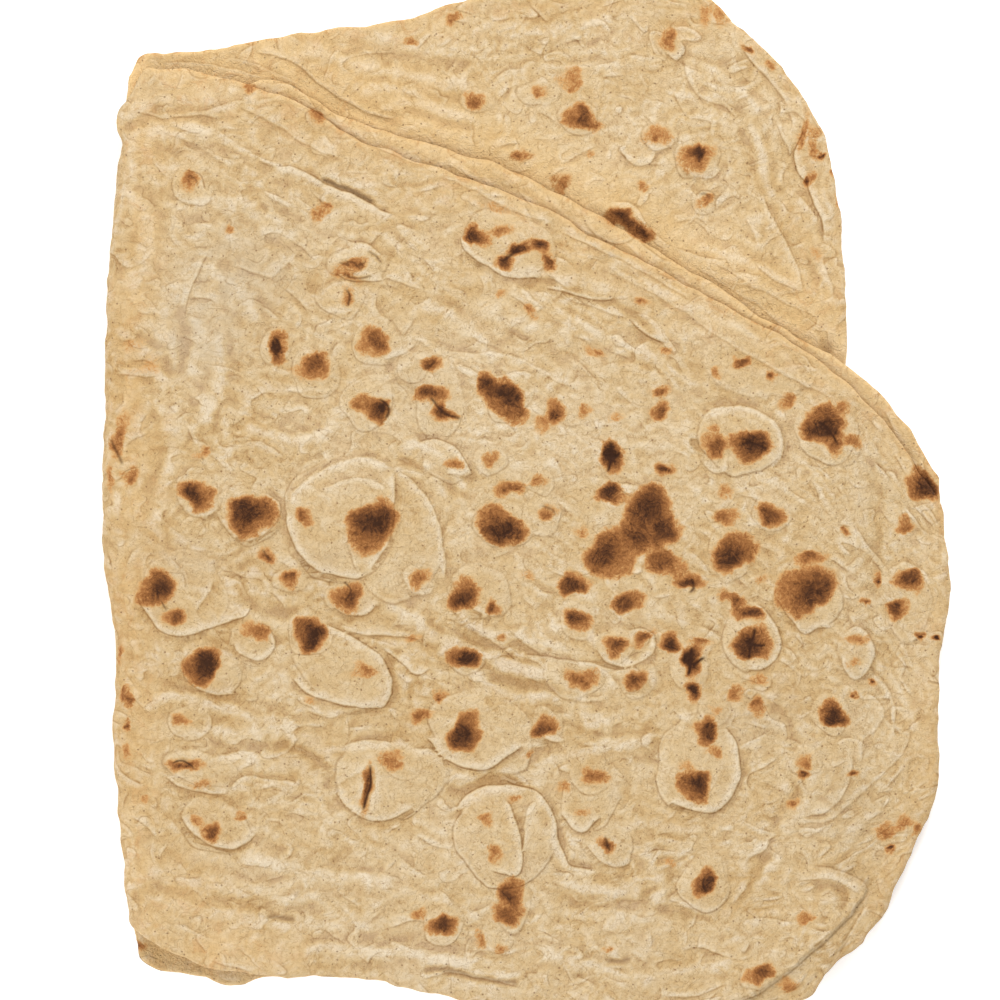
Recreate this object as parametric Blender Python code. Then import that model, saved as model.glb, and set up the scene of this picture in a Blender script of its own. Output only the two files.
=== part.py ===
"""A folded lavash flatbread: one soft sheet of baked dough, folded to five plies, lying flat.

Every ply is a thin slab with a rounded lip. Ply after ply is laid on those below it, so a ply
sinks where the one under it ends. A union joins the plies to one solid, and their lips stay
as layered edges round its sides. The left side is the outer fold, a round wall that wraps all plies.

Metres, +Z up. The origin is under the middle of the bread, on the surface that it lies on.
+Y is the end with the bare upper layer, and -X is the side with the outer fold.
"""

import bmesh
import bpy
import numpy as np

MM = 0.001

# Driving dimensions
BREAD_LENGTH = 328 * MM
PLY_WIDTH, PLY_LENGTH = 260 * MM, 250 * MM  # mean sides of a ply, for its mesh spacing
PLY = 2.4 * MM  # thickness of one ply
PITCH = 2.1 * MM  # from one ply to the next, pressed together by their weight
LIP = 1.3 * MM  # width of the rounded edge of a ply
SLIVER = 0.05 * MM  # least depth that a point off the rim counts as
GROOVE = 4.0 * MM  # how far the gap between two plies reaches in from their lips
TENT = 18.0 * MM  # width over which a ply comes down beside the edge of the one under it
EDGE_LIFT = 0.9 * MM  # how far the wavy edge of a ply stands off at most
EDGE_BAND = 16.0 * MM  # width of the wavy band along an edge
EDGE_WAVES = (21 * MM, 19 * MM)  # size of the waves in that band, across and along the bread
BARE_EDGE = 3 * MM  # over which the relief fades at a ply's rim and beside the ply that covers it
WRINKLE_EDGE = 10 * MM  # over which the wrinkles fade at a ply's rim
WRINKLES = (38 * MM, 9 * MM, 0.45)  # length, width and height, the height in mm
WIDE_WAVES = (24 * MM, 20 * MM, 0.5)  # the same for the wider waves
FOLD_WIDTH = 5.5 * MM  # of the round wall along the outer fold
FOLD_RINGS = 90  # cross-sections of that wall
FOLD_ARC_POINTS = 9  # points round its half-round outer side
FOLD_REACH = 1.8  # how far in its inner side stands, in widths of the fold
FOLD_INNER_ENDS = (0.8, -1.0)  # top and foot of the inner side, from -1 at the foot to 1 at the top
FOLD_WAVES = (0.06, 37)  # share of the height that waves up and down, and how often
FOLD_ENDS = (0.25, 25)  # share that both ends are lower, and one over the share of the length they take
SECOND_MARGIN = 2.0 * MM  # how far the second ply stays inside the top one
THIRD_MARGIN = 3.6 * MM
THIRD_STEP = 2.6 * MM  # from the second ply's slanting edge to the third's
UPPER_LAYER_MARGIN = 1.2 * MM  # from the fold line to the upper layer's left side
BOTTOM_PLY_MARGIN = 1.8 * MM
BOTTOM_PLY_STEP = 1.3 * MM  # how far the bottom ply stays inside the upper layer's far end
CELL = 3.0 * MM  # mesh spacing of the plies before they are joined
END_CELLS = (0, 0.5 * MM, 1.3 * MM, 3.0 * MM, 5.2 * MM, 7.5 * MM)  # closer spacing from an edge inwards
CORNER_SAMPLES = 10  # points of an edge dropped beside a corner that two plies don't share
FACES_KEPT = 11400  # triangles of the joined solid

# The bread was measured on a photograph taken from straight above
PHOTO_LENGTH = 1026  # pixels along the bread
PHOTO_CENTRE = (526, 501)  # pixel over the origin
PX = BREAD_LENGTH / PHOTO_LENGTH

# Corners and edges of the plies, in pixels of that photograph, each edge left to right or bottom to top
FOLD_LINE = [(130, 926), (121, 850), (113, 730), (116, 645), (103, 560), (104, 400),
             (108, 260), (117, 165), (115, 122)]
TOP_PLY_CORNER = [(133, 89), (147, 67)]
TOP_PLY_DIAGONAL = [(147, 67), (192, 71), (246, 85), (310, 108), (361, 140), (470, 180), (540, 207),
                    (610, 245), (698, 291), (787, 339), (848, 384), (891, 429), (919, 471), (940, 503)]
RIGHT_SIDE = [(862, 944), (887, 906), (914, 846), (935, 800), (938, 730), (940, 660), (949, 605),
              (949, 560), (940, 503)]
TOP_PLY_BOTTOM = [(130, 926), (158, 946), (216, 969), (276, 976), (360, 978), (421, 991), (500, 1006),
                  (620, 1014), (740, 1012), (806, 999), (829, 970), (862, 944)]
SECOND_PLY_DIAGONAL = [(140, 80), (200, 88), (246, 86), (268, 78), (310, 97), (358, 122), (453, 151),
                       (516, 172), (610, 222), (698, 275), (769, 320), (848, 366), (902, 419), (939, 480)]
UPPER_LAYER_TOP = [(128, 75), (146, 53), (200, 50), (300, 32), (400, 20), (440, 6), (500, -8),
                   (600, -12), (660, -12), (705, -8)]
UPPER_LAYER_RIGHT = [(826, 900), (840, 600), (847, 380), (846, 300), (839, 200), (822, 128),
                     (791, 80), (761, 44), (732, 20), (705, -8)]
UPPER_LAYER_BOTTOM = [(122, 905), (210, 946), (360, 958), (520, 985), (700, 990), (800, 965), (826, 900)]
BOTTOM_PLY_RIGHT = [(850, 938), (905, 850), (930, 740), (940, 600), (932, 480), (880, 404), (843, 364),
                    (838, 260), (824, 160), (786, 84), (728, 24), (702, -4)]
BOTTOM_PLY_BOTTOM = [(134, 940), (146, 966), (203, 979), (238, 987), (272, 978), (400, 981), (520, 1002),
                     (680, 1010), (800, 996), (850, 938)]

# Raised blisters wider than 12 mm: x, y, width, height over the paper plane in pixels, turn in degrees, rise in mm
BLISTERS = [
    (345, 517, 114, 118, 0, 2.4), (398, 535, 96, 130, 10, 1.3), (182, 594, 88, 84, 20, 1.6),
    (208, 666, 50, 40, 0, 1.4), (345, 668, 104, 58, 32, 1.8), (484, 726, 96, 84, 30, 2.2),
    (392, 778, 100, 78, 0, 2.2), (508, 836, 100, 96, 0, 2.6), (700, 765, 82, 98, 0, 1.8),
    (741, 440, 86, 64, 0, 1.8), (829, 428, 64, 66, 0, 1.3), (807, 590, 62, 66, 0, 1.6),
    (505, 243, 88, 62, 15, 1.7), (358, 264, 56, 38, 0, 1.6), (375, 344, 48, 46, 0, 1.3),
    (314, 373, 50, 46, 0, 1.3), (250, 513, 58, 48, 15, 1.5), (505, 525, 58, 46, 0, 1.4),
    (480, 592, 60, 50, 30, 1.4), (590, 800, 54, 62, 20, 1.7), (704, 882, 52, 50, 0, 1.6),
    (222, 826, 66, 46, 20, 1.8), (215, 770, 78, 34, 15, 1.5), (856, 652, 38, 54, 0, 1.2),
    (750, 636, 56, 74, 0, 1.4), (697, 160, 42, 40, 0, 1.5), (580, 116, 46, 34, 15, 1.3),
]

# The turned-over corner at the lower right, and the crease beside the diagonal: points, side that rises, rise in mm
STEPS = [
    ([(700, 1004), (750, 997), (816, 949), (864, 896), (849, 874), (800, 864)], 1, 2.4),
    ([(829, 970), (843, 946), (858, 916)], 1, 1.0),
    ([(373, 199), (330, 184), (284, 168)], 1, 1.3),
    ([(152, 110), (210, 112), (290, 128)], -1, 0.9),
]
STEP_REACH = 14 * MM  # how far the raised side of a step runs back
STEP_EDGE = 0.8 * MM  # width of the slope at its line
STEP_END = 12 * MM  # over which it fades towards both ends
STEP_END_RISE = 0.15  # share of the rise that is left at the very end, before smoothing

BLISTER_LOBES = ((2, 0.07, 1), (3, 0.05, 2))  # of the uneven outlines: lobes, depth, turn from one to the next
BLISTER_STEEPNESS, BLISTER_ROUNDNESS = 4, 0.75  # powers that make the rim steep and the top flat

DOUGH_COLOUR = (0.72, 0.52, 0.30, 1.0)


def clear_scene():
    for item in list(bpy.data.objects):
        bpy.data.objects.remove(item)


def placed(points):
    """Points of the photograph as metres on the bread."""
    pixels = np.array(points, float)
    return np.column_stack(((pixels[:, 0] - PHOTO_CENTRE[0]) * PX, (PHOTO_CENTRE[1] - pixels[:, 1]) * PX))


def smooth(t):
    """A soft step from 0 to 1 as t goes from 0 to 1."""
    t = np.clip(t, 0, 1)
    return t * t * (3 - 2 * t)


def spline(points, samples_per_span=16):
    """A smooth curve through the points, as many short chords."""
    p = placed(points)
    p = np.vstack((2 * p[0] - p[1], p, 2 * p[-1] - p[-2]))
    t = np.linspace(0, 1, samples_per_span, endpoint=False)[:, None]
    spans = [
        0.5 * (2 * b + (c - a) * t + (2 * a - 5 * b + 4 * c - d) * t**2 + (3 * b - a - 3 * c + d) * t**3)
        for a, b, c, d in zip(p, p[1:], p[2:], p[3:])
    ]
    return np.vstack((*spans, p[-2:-1]))


def along(curve, shares):
    """The points that lie at these shares of the curve's length."""
    steps = np.linalg.norm(np.diff(curve, axis=0), axis=1)
    run = np.concatenate(([0], np.cumsum(steps))) / steps.sum()
    return np.column_stack([np.interp(shares, run, curve[:, k]) for k in (0, 1)])


def inset(curve, distance):
    """The curve moved to its right-hand side, looking along it."""
    tangent = np.gradient(curve, axis=0)
    tangent /= np.linalg.norm(tangent, axis=1)[:, None] + 1e-12
    return curve + distance * np.column_stack((tangent[:, 1], -tangent[:, 0]))


def shares_with_fine_ends(length):
    """Shares of a length, about CELL apart, and closer at both ends, where the lip and the groove are."""
    *ends, inmost = END_CELLS
    middle = np.linspace(inmost, length - inmost, int(length / CELL))
    return np.concatenate((ends, middle, length - np.array(ends[::-1]))) / length


def patch(left, right, bottom, top):
    """A grid of points that fills the four edges, as a Coons patch."""
    u = shares_with_fine_ends(PLY_WIDTH)[:, None, None]
    v = shares_with_fine_ends(PLY_LENGTH)[None, :, None]
    west, east = along(left, v.ravel())[None], along(right, v.ravel())[None]
    south, north = along(bottom, u.ravel())[:, None], along(top, u.ravel())[:, None]
    corners = (
        (1 - u) * (1 - v) * south[0] + u * (1 - v) * south[-1] + (1 - u) * v * north[0] + u * v * north[-1]
    )
    return (1 - u) * west + u * east + (1 - v) * south + v * north - corners


def outline_of(grid):
    return np.vstack((grid[:-1, 0], grid[-1, :-1], grid[:0:-1, -1], grid[0, :0:-1]))


def distance_to(line, points):
    """The distance from each point to an open chain of chords, and which side it is on: 1 left, -1 right."""
    best = np.full(len(points), np.inf)
    side = np.ones(len(points))
    for a, b in zip(line[:-1], line[1:]):
        chord = b - a
        offset = points - a
        share = np.clip(offset @ chord / max(chord @ chord, 1e-18), 0, 1)
        away = offset - share[:, None] * chord
        gap = np.hypot(away[:, 0], away[:, 1])
        nearer = gap < best - 1e-12
        best[nearer] = gap[nearer]
        side[nearer] = np.sign(chord[0] * offset[nearer, 1] - chord[1] * offset[nearer, 0])
    return best, side


def depth_inside(outline, points):
    """How far each point is inside a closed outline, below 0 outside it."""
    loop = np.vstack((outline, outline[:1]))
    gap, _ = distance_to(loop, points)
    inside = np.zeros(len(points), bool)
    for (ax, ay), (bx, by) in zip(loop[:-1], loop[1:]):
        crosses = (ay > points[:, 1]) != (by > points[:, 1])
        if crosses.any():
            at = ax + (points[:, 1] - ay) * (bx - ax) / (by - ay if by != ay else 1e-18)
            inside ^= crosses & (points[:, 0] < at)
    return np.where(inside, gap, -gap)


def noise(x, y, seed):
    """Smooth noise from -1 to 1, with features one unit wide."""
    table = np.random.default_rng(seed).uniform(-1, 1, (64, 64))
    i, j = np.floor(x).astype(int), np.floor(y).astype(int)
    s, t = smooth(x - i), smooth(y - j)
    i0, j0, i1, j1 = i % 64, j % 64, (i + 1) % 64, (j + 1) % 64
    low = table[i0, j0] * (1 - s) + table[i1, j0] * s
    high = table[i0, j1] * (1 - s) + table[i1, j1] * s
    return low * (1 - t) + high * t


def blister_relief(points):
    """The domes of the large blisters, steep at the rim and flat on top."""
    rise = np.zeros(len(points))
    for number, (x, y, width, height, turn, top) in enumerate(BLISTERS):
        away = points - placed([(x, y)])[0]
        angle = np.radians(-turn)
        across = away[:, 0] * np.cos(angle) + away[:, 1] * np.sin(angle)
        upward = away[:, 1] * np.cos(angle) - away[:, 0] * np.sin(angle)
        radius = np.hypot(across / (width * PX / 2), upward / (height * PX / 2))
        bearing = np.arctan2(upward, across)
        radius *= 1 + sum(depth * np.sin(lobes * bearing + turns * number) for lobes, depth, turns in BLISTER_LOBES)
        dome = (1 - np.clip(radius, 0, 1) ** BLISTER_STEEPNESS) ** BLISTER_ROUNDNESS
        rise = np.maximum(rise, top * MM * dome)
    return rise


def step_relief(points):
    """The turned-over corner and the creases, where one side of a line stands over the other."""
    rise = np.zeros(len(points))
    for line, raised_side, top in STEPS:
        curve = spline(line, 8)
        gap, side = distance_to(curve, points)
        end_gap = np.minimum(*(np.linalg.norm(points - curve[k], axis=1) for k in (0, -1)))
        fade = np.exp(-((gap / STEP_REACH) ** 2)) * smooth(STEP_END_RISE + end_gap / STEP_END)
        rise += np.where(side == raised_side, top * MM * fade * smooth(gap / STEP_EDGE), 0)
    return rise


def wrinkle_relief(points, grid_shape):
    """Long low wrinkles that run from side to side, as the ply's own grid does, and wider waves."""
    x, y = points.T
    columns, rows = grid_shape
    u, v = (k.ravel() for k in np.meshgrid(np.arange(columns), np.arange(rows), indexing="ij"))
    length, width, height = WRINKLES
    wrinkles = noise(u * CELL / length, v * CELL / width, 3) * height * MM
    across, along_bread, height = WIDE_WAVES
    return wrinkles + noise(x / across, y / along_bread, 4) * height * MM


class Ply:
    """One ply: its grid of points seen from above, and the heights of its two faces."""

    def __init__(self, name, left, right, bottom, top):
        self.name = name
        grid = patch(left, right, bottom, top)
        self.shape = grid.shape[:2]
        self.points = grid.reshape(-1, 2)
        self.outline = outline_of(grid)

    def lay_on(self, below, level, cover):
        """Sets the heights: over the plies below, with relief where no ply covers this one."""
        depth = np.maximum(depth_inside(self.outline, self.points), SLIVER)
        lip = np.sqrt(1 - (1 - np.clip(depth / LIP, 0, 1)) ** 2)
        base = sum((PITCH * smooth(1 + ply_depth / TENT) for ply_depth in below), np.zeros(len(depth)))
        near_edge = smooth(1 - depth / EDGE_BAND)
        across, along_bread = EDGE_WAVES
        wave = noise(self.points[:, 0] / across, self.points[:, 1] / along_bread, 20 + level)
        base += near_edge * EDGE_LIFT * smooth(wave) * (level > 0)
        middle = base + PLY / 2
        bare = 1.0 if cover is None else smooth(-depth_inside(cover, self.points) / BARE_EDGE)
        relief = blister_relief(self.points) + step_relief(self.points)
        relief += wrinkle_relief(self.points, self.shape) * smooth(depth / WRINKLE_EDGE)
        sunk = smooth((depth - LIP) / GROOVE) if level else 0
        self.upper = middle + lip * (PLY / 2 + relief * bare * smooth(depth / BARE_EDGE))
        self.lower = (middle - lip * PLY / 2) * (1 - sunk) + sunk * PLY / 2


def mesh_object(name, vertices, faces, collection):
    mesh = bpy.data.meshes.new(name)
    mesh.from_pydata([tuple(v) for v in vertices], [], faces)
    body = bmesh.new()
    body.from_mesh(mesh)
    bmesh.ops.delete(body, geom=[v for v in body.verts if not v.link_faces], context="VERTS")
    bmesh.ops.triangulate(body, faces=body.faces)
    bmesh.ops.recalc_face_normals(body, faces=body.faces)
    body.to_mesh(mesh)
    body.free()
    made = bpy.data.objects.new(name, mesh)
    collection.objects.link(made)
    return made


def slab(ply, collection):
    """The closed slab of a ply. Its two faces share the points of the rim."""
    columns, rows = ply.shape
    upper = np.column_stack((ply.points, ply.upper))
    lower = np.column_stack((ply.points, ply.lower))
    number = np.arange(columns * rows).reshape(columns, rows)
    under = number + columns * rows
    for rim in (np.s_[0, :], np.s_[-1, :], np.s_[:, 0], np.s_[:, -1]):
        under[rim] = number[rim]
    faces = triangles_of(number) + triangles_of(under[:, ::-1])
    return mesh_object(ply.name, np.vstack((upper, lower)), faces, collection)


def triangles_of(number):
    """Two triangles for each cell of a grid of point numbers, split so that no split cuts off a corner."""
    a, b, c, d = number[:-1, :-1], number[1:, :-1], number[1:, 1:], number[:-1, 1:]
    column, row = np.indices(a.shape)
    rising = ((column < a.shape[0] // 2) == (row < a.shape[1] // 2))[..., None]
    first = np.where(rising, np.dstack((a, b, c)), np.dstack((a, b, d)))
    second = np.where(rising, np.dstack((a, c, d)), np.dstack((b, c, d)))
    return np.concatenate((first, second)).reshape(-1, 3).tolist()


def fold_wall(line, stack_height, collection):
    """The outer fold: a wall with a half-round outer side that stands along the fold line."""
    turn = np.linspace(-np.pi / 2, np.pi / 2, FOLD_ARC_POINTS)
    reach = np.concatenate((1 - np.cos(turn), (FOLD_REACH, FOLD_REACH)))[:, None]
    heights = np.concatenate((np.sin(turn), FOLD_INNER_ENDS))
    shares = np.linspace(0, 1, FOLD_RINGS)
    (wave_share, wave_count), (end_share, end_rate) = FOLD_WAVES, FOLD_ENDS
    rings = []
    for share, outer, inner in zip(shares, along(line, shares), along(inset(line, FOLD_WIDTH), shares)):
        waves = wave_share * (1 + np.sin(wave_count * share))
        low_end = end_share * (1 - smooth(end_rate * min(share, 1 - share)))
        rises = (1 + heights * (1 - waves - low_end)) * stack_height / 2
        rings.append(np.column_stack((outer + reach * (inner - outer), rises)))
    count = len(heights)
    faces = [list(range(count)), [count * (FOLD_RINGS - 1) + k for k in reversed(range(count))]]
    for ring in range(FOLD_RINGS - 1):
        for k in range(count):
            a, b = ring * count + k, ring * count + (k + 1) % count
            faces.append([a, b, b + count, a + count])
    return mesh_object("fold_wall", np.vstack(rings), faces, collection)


def edge(start, curve, end):
    """A curve without its ends, run to two corners instead."""
    return np.vstack((start, curve[CORNER_SAMPLES:-CORNER_SAMPLES], end))


def nested(name, margin, top):
    """A ply that lies a little inside the top one, up to its own slanting edge."""
    left, right, bottom = (spline(points) for points in (FOLD_LINE, RIGHT_SIDE, TOP_PLY_BOTTOM))
    left, right, bottom = inset(left, margin), inset(right, -margin), inset(bottom, -margin)
    low_left, low_right = left[0], bottom[-1]
    return Ply(
        name,
        edge(low_left, left, top[0]),
        edge(low_right, right, top[-1]),
        edge(low_left, bottom, low_right),
        top,
    )


def make_plies():
    """The five plies, the lowest first."""
    fold = spline(FOLD_LINE)
    second_top = spline(SECOND_PLY_DIAGONAL)
    upper_top, upper_bottom = spline(UPPER_LAYER_TOP), spline(UPPER_LAYER_BOTTOM)
    bottom_right, bottom_bottom = spline(BOTTOM_PLY_RIGHT), spline(BOTTOM_PLY_BOTTOM)
    bottom_top = inset(upper_top, BOTTOM_PLY_STEP)
    return [
        Ply(
            "bottom_ply",
            edge(bottom_bottom[0], inset(fold, BOTTOM_PLY_MARGIN), bottom_top[0]),
            bottom_right,
            bottom_bottom,
            np.vstack((bottom_top[:-CORNER_SAMPLES], bottom_right[-1])),
        ),
        Ply(
            "upper_layer",
            edge(upper_bottom[0], inset(fold, UPPER_LAYER_MARGIN), upper_top[0]),
            spline(UPPER_LAYER_RIGHT),
            upper_bottom,
            upper_top,
        ),
        nested("third_ply", THIRD_MARGIN, inset(second_top, THIRD_STEP)),
        nested("second_ply", SECOND_MARGIN, second_top),
        Ply(
            "top_ply",
            np.vstack((fold, spline([FOLD_LINE[-1], *TOP_PLY_CORNER])[1:])),
            spline(RIGHT_SIDE),
            spline(TOP_PLY_BOTTOM),
            spline(TOP_PLY_DIAGONAL),
        ),
    ]


def build_plies(collection):
    plies = make_plies()
    covered_by = {0: plies[1], 1: plies[3], 2: plies[3], 3: plies[4]}
    for level, ply in enumerate(plies):
        below = [depth_inside(other.outline, ply.points) for other in plies[:level]]
        cover = covered_by[level].outline if level in covered_by else None
        ply.lay_on(below, level, cover)
        slab(ply, collection)
    stack_height = PITCH * (len(plies) - 1) + PLY
    fold_wall(spline(FOLD_LINE), stack_height, collection)


def union(collection):
    """All slabs as one solid. The MANIFOLD solver takes a second where EXACT takes minutes."""
    first, *others = list(collection.objects)
    rest = bpy.data.collections.new("others")
    bpy.context.scene.collection.children.link(rest)
    for other in others:
        collection.objects.unlink(other)
        rest.objects.link(other)
    join = first.modifiers.new("join", "BOOLEAN")
    join.operation, join.operand_type, join.collection = "UNION", "COLLECTION", rest
    join.solver = "MANIFOLD"
    apply_modifiers(first)
    for other in others:
        bpy.data.objects.remove(other)
    bpy.data.collections.remove(rest)
    return first


def apply_modifiers(thing):
    graph = bpy.context.evaluated_depsgraph_get()
    made = bpy.data.meshes.new_from_object(thing.evaluated_get(graph))
    thing.modifiers.clear()
    thing.data = made


def keep_outer_shell(thing):
    """Drops scraps and the shells of gaps that the union sealed: only the largest shell stays."""
    body = bmesh.new()
    body.from_mesh(thing.data)
    left, shells = set(body.verts), []
    while left:
        shell, edge = set(), [next(iter(left))]
        while edge:
            vertex = edge.pop()
            if vertex not in shell:
                shell.add(vertex)
                edge += [link.other_vert(vertex) for link in vertex.link_edges]
        left -= shell
        shells.append(shell)
    shells.sort(key=len)
    bmesh.ops.delete(body, geom=[v for shell in shells[:-1] for v in shell], context="VERTS")
    body.to_mesh(thing.data)
    body.free()


def thin_out(thing):
    """Fewer triangles, kept where the relief and the lips need them."""
    count = len(thing.data.loop_triangles) or len(thing.data.polygons)
    decimate = thing.modifiers.new("thin_out", "DECIMATE")
    decimate.ratio = FACES_KEPT / count
    apply_modifiers(thing)


def finish(thing):
    thing.name = thing.data.name = "lavash"
    dough = bpy.data.materials.new("baked_dough")
    dough.use_nodes = True
    shader = dough.node_tree.nodes["Principled BSDF"]
    shader.inputs["Base Color"].default_value = DOUGH_COLOUR
    shader.inputs["Roughness"].default_value = 0.85
    shader.inputs["Metallic"].default_value = 0.0
    thing.data.materials.clear()
    thing.data.materials.append(dough)
    thing.data.shade_smooth()
    thing.data.set_sharp_from_angle(angle=np.radians(50))


def main():
    clear_scene()
    collection = bpy.data.collections.new("plies")
    bpy.context.scene.collection.children.link(collection)
    build_plies(collection)
    lavash = union(collection)
    keep_outer_shell(lavash)
    thin_out(lavash)
    finish(lavash)


main()
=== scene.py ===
import bpy
import numpy as np
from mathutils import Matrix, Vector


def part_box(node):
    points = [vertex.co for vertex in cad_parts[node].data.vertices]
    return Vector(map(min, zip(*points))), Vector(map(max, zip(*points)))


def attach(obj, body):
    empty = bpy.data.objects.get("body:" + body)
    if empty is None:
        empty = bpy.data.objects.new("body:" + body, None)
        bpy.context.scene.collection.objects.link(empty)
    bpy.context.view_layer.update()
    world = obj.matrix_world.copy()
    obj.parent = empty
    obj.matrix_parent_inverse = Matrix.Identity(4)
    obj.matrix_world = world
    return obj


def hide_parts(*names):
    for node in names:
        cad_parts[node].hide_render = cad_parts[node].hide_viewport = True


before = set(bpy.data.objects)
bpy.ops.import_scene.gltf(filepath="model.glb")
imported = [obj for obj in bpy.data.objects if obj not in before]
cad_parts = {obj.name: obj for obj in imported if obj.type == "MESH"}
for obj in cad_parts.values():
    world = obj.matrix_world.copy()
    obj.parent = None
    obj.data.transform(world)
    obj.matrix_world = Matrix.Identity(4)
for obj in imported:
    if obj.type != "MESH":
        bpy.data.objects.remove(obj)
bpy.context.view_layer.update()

NODE = "lavash"
low, high = (np.array(corner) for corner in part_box(NODE))

MM = 0.001
PLY = 2.4 * MM  # thickness of one ply
PITCH = 2.1 * MM  # from one ply to the next
LIP = 1.3 * MM  # width of the rounded edge of a ply
SLIVER = 0.05 * MM  # least depth that a point off the rim counts as
OUTLINE_POINTS = 400  # corners of a ply's outline
LIPPED_POINTS = 340  # corners of the part of it that has a lip
TENT = 18 * MM  # width over which a ply comes down beside the edge of the one under it
EDGE_LIFT = 0.9 * MM  # how far the wavy edge of a ply stands off at most
EDGE_BAND = 16 * MM  # width of that wavy edge
EDGE_WAVES = (21 * MM, 19 * MM)  # size of its waves
EDGE_FADE = 4 * MM  # width over which the relief sets in beside an edge
WOBBLE = 8 * MM  # width of the small bays in the outlines
WOBBLE_REACH = 0.8 * MM  # their depth
FINE_WOBBLE = 2.6  # how many times narrower the finest bays are
FINE_WOBBLE_REACH = 0.20 * MM  # and their depth
BARE_FADE = 3 * MM  # width over which the relief sets in beside the ply above
CONTACT_SHADE_START = 0.3 * MM  # how far the painted shade line runs in under the edge of the ply above
CONTACT_SHADE_FADE = 0.75 * MM  # width over which it fades outside that edge
CONTACT_SHADE_END = 1.5 * MM  # width over which it fades at the ply's own edge
PAINTED_LIGHT_FADE = 9 * MM  # width of the painted warm light that lifts the shade beside the edge of the ply above
GOLDEN_LIP = 3.0 * MM  # width of the golden tone on a ply's edge
FOLD_WIDTH = 5.5 * MM  # of the round outer fold, on the left side
TAIL = 2.0 * MM  # how far the fold runs on under the bread
TAIL_SHARE = 0.12  # of the fold's columns
FOLD_END = 14 * MM  # length over which the round fold sets in at the far corner
OPEN_CORNER = 2 * MM  # length of the far corner that stays flat

# How far covered plies stay inside the outer fold, and two of them inside a slanting or far edge
BOTTOM_MARGIN, BOTTOM_TOP_MARGIN = 1.8 * MM, 1.3 * MM
UPPER_MARGIN = 1.2 * MM
THIRD_MARGIN, THIRD_TOP_MARGIN = 3.6 * MM, 2.6 * MM
SECOND_MARGIN = 2.0 * MM

# Sizes along a ply's grid
DOUGH_WIDTH = 262 * MM  # from the fold to the right side, and the length below the slanting edge
BOTTOM_LENGTH = 315 * MM
UPPER_LENGTH = 310 * MM
FINE = 0.97 * MM  # mesh spacing where a ply shows
COARSE = 8 * MM  # mesh spacing where it is covered
LIP_CELLS = (0, 0.12 * MM, 0.35 * MM, 0.7 * MM, 1.2 * MM, 1.9 * MM, 2.7 * MM, 3.6 * MM)  # from an edge
WRAP_COLUMNS = 18  # mesh columns round the outer fold
EDGE_RING = 11  # cells beside a ply's edge that stay fine on its plain face
LARGE_FACE = 8  # cells along a side of the plain face's large faces

# The bread was measured on a photograph taken from straight above, in its pixels
PHOTO_SIDE = 1000
PHOTO_LENGTH = 1026  # of the bread
PHOTO_CENTRE = (526, 501)  # the pixel over the origin
PX = (high[1] - low[1]) / PHOTO_LENGTH  # size of a pixel

FOLD_LINE = [(130, 926), (121, 850), (113, 730), (116, 645), (103, 560), (104, 400),
             (108, 260), (117, 165), (115, 122)]
TOP_PLY_CORNER = [(133, 89), (147, 67)]
TOP_PLY_DIAGONAL = [(147, 67), (192, 71), (246, 85), (310, 108), (361, 140), (470, 180), (540, 207),
                    (610, 245), (698, 291), (787, 339), (848, 384), (891, 429), (919, 471), (940, 503)]
RIGHT_SIDE = [(862, 944), (887, 906), (914, 846), (935, 800), (938, 730), (940, 660), (949, 605),
              (949, 560), (940, 503)]
TOP_PLY_BOTTOM = [(130, 926), (158, 946), (216, 969), (276, 976), (360, 978), (421, 991), (500, 1006),
                  (620, 1014), (740, 1012), (806, 999), (829, 970), (862, 944)]
SECOND_PLY_DIAGONAL = [(140, 80), (200, 88), (246, 86), (268, 78), (310, 97), (358, 122), (453, 151),
                       (516, 172), (610, 222), (698, 275), (769, 320), (848, 366), (902, 419), (939, 480)]
UPPER_LAYER_TOP = [(128, 75), (146, 53), (200, 50), (300, 32), (400, 20), (440, 6), (500, -8),
                   (600, -12), (660, -12), (705, -8)]
UPPER_LAYER_RIGHT = [(826, 900), (840, 600), (847, 380), (846, 300), (839, 200), (822, 128),
                     (791, 80), (761, 44), (732, 20), (705, -8)]
UPPER_LAYER_BOTTOM = [(129, 905), (210, 946), (360, 958), (520, 985), (700, 990), (800, 965), (826, 900)]
BOTTOM_PLY_RIGHT = [(850, 938), (905, 850), (930, 740), (940, 600), (932, 480), (880, 404), (843, 364),
                    (838, 260), (824, 160), (786, 84), (728, 24), (702, -4)]
BOTTOM_PLY_BOTTOM = [(134, 940), (146, 966), (203, 979), (238, 987), (272, 978), (400, 981), (520, 1002),
                     (680, 1010), (800, 996), (850, 938)]

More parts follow.
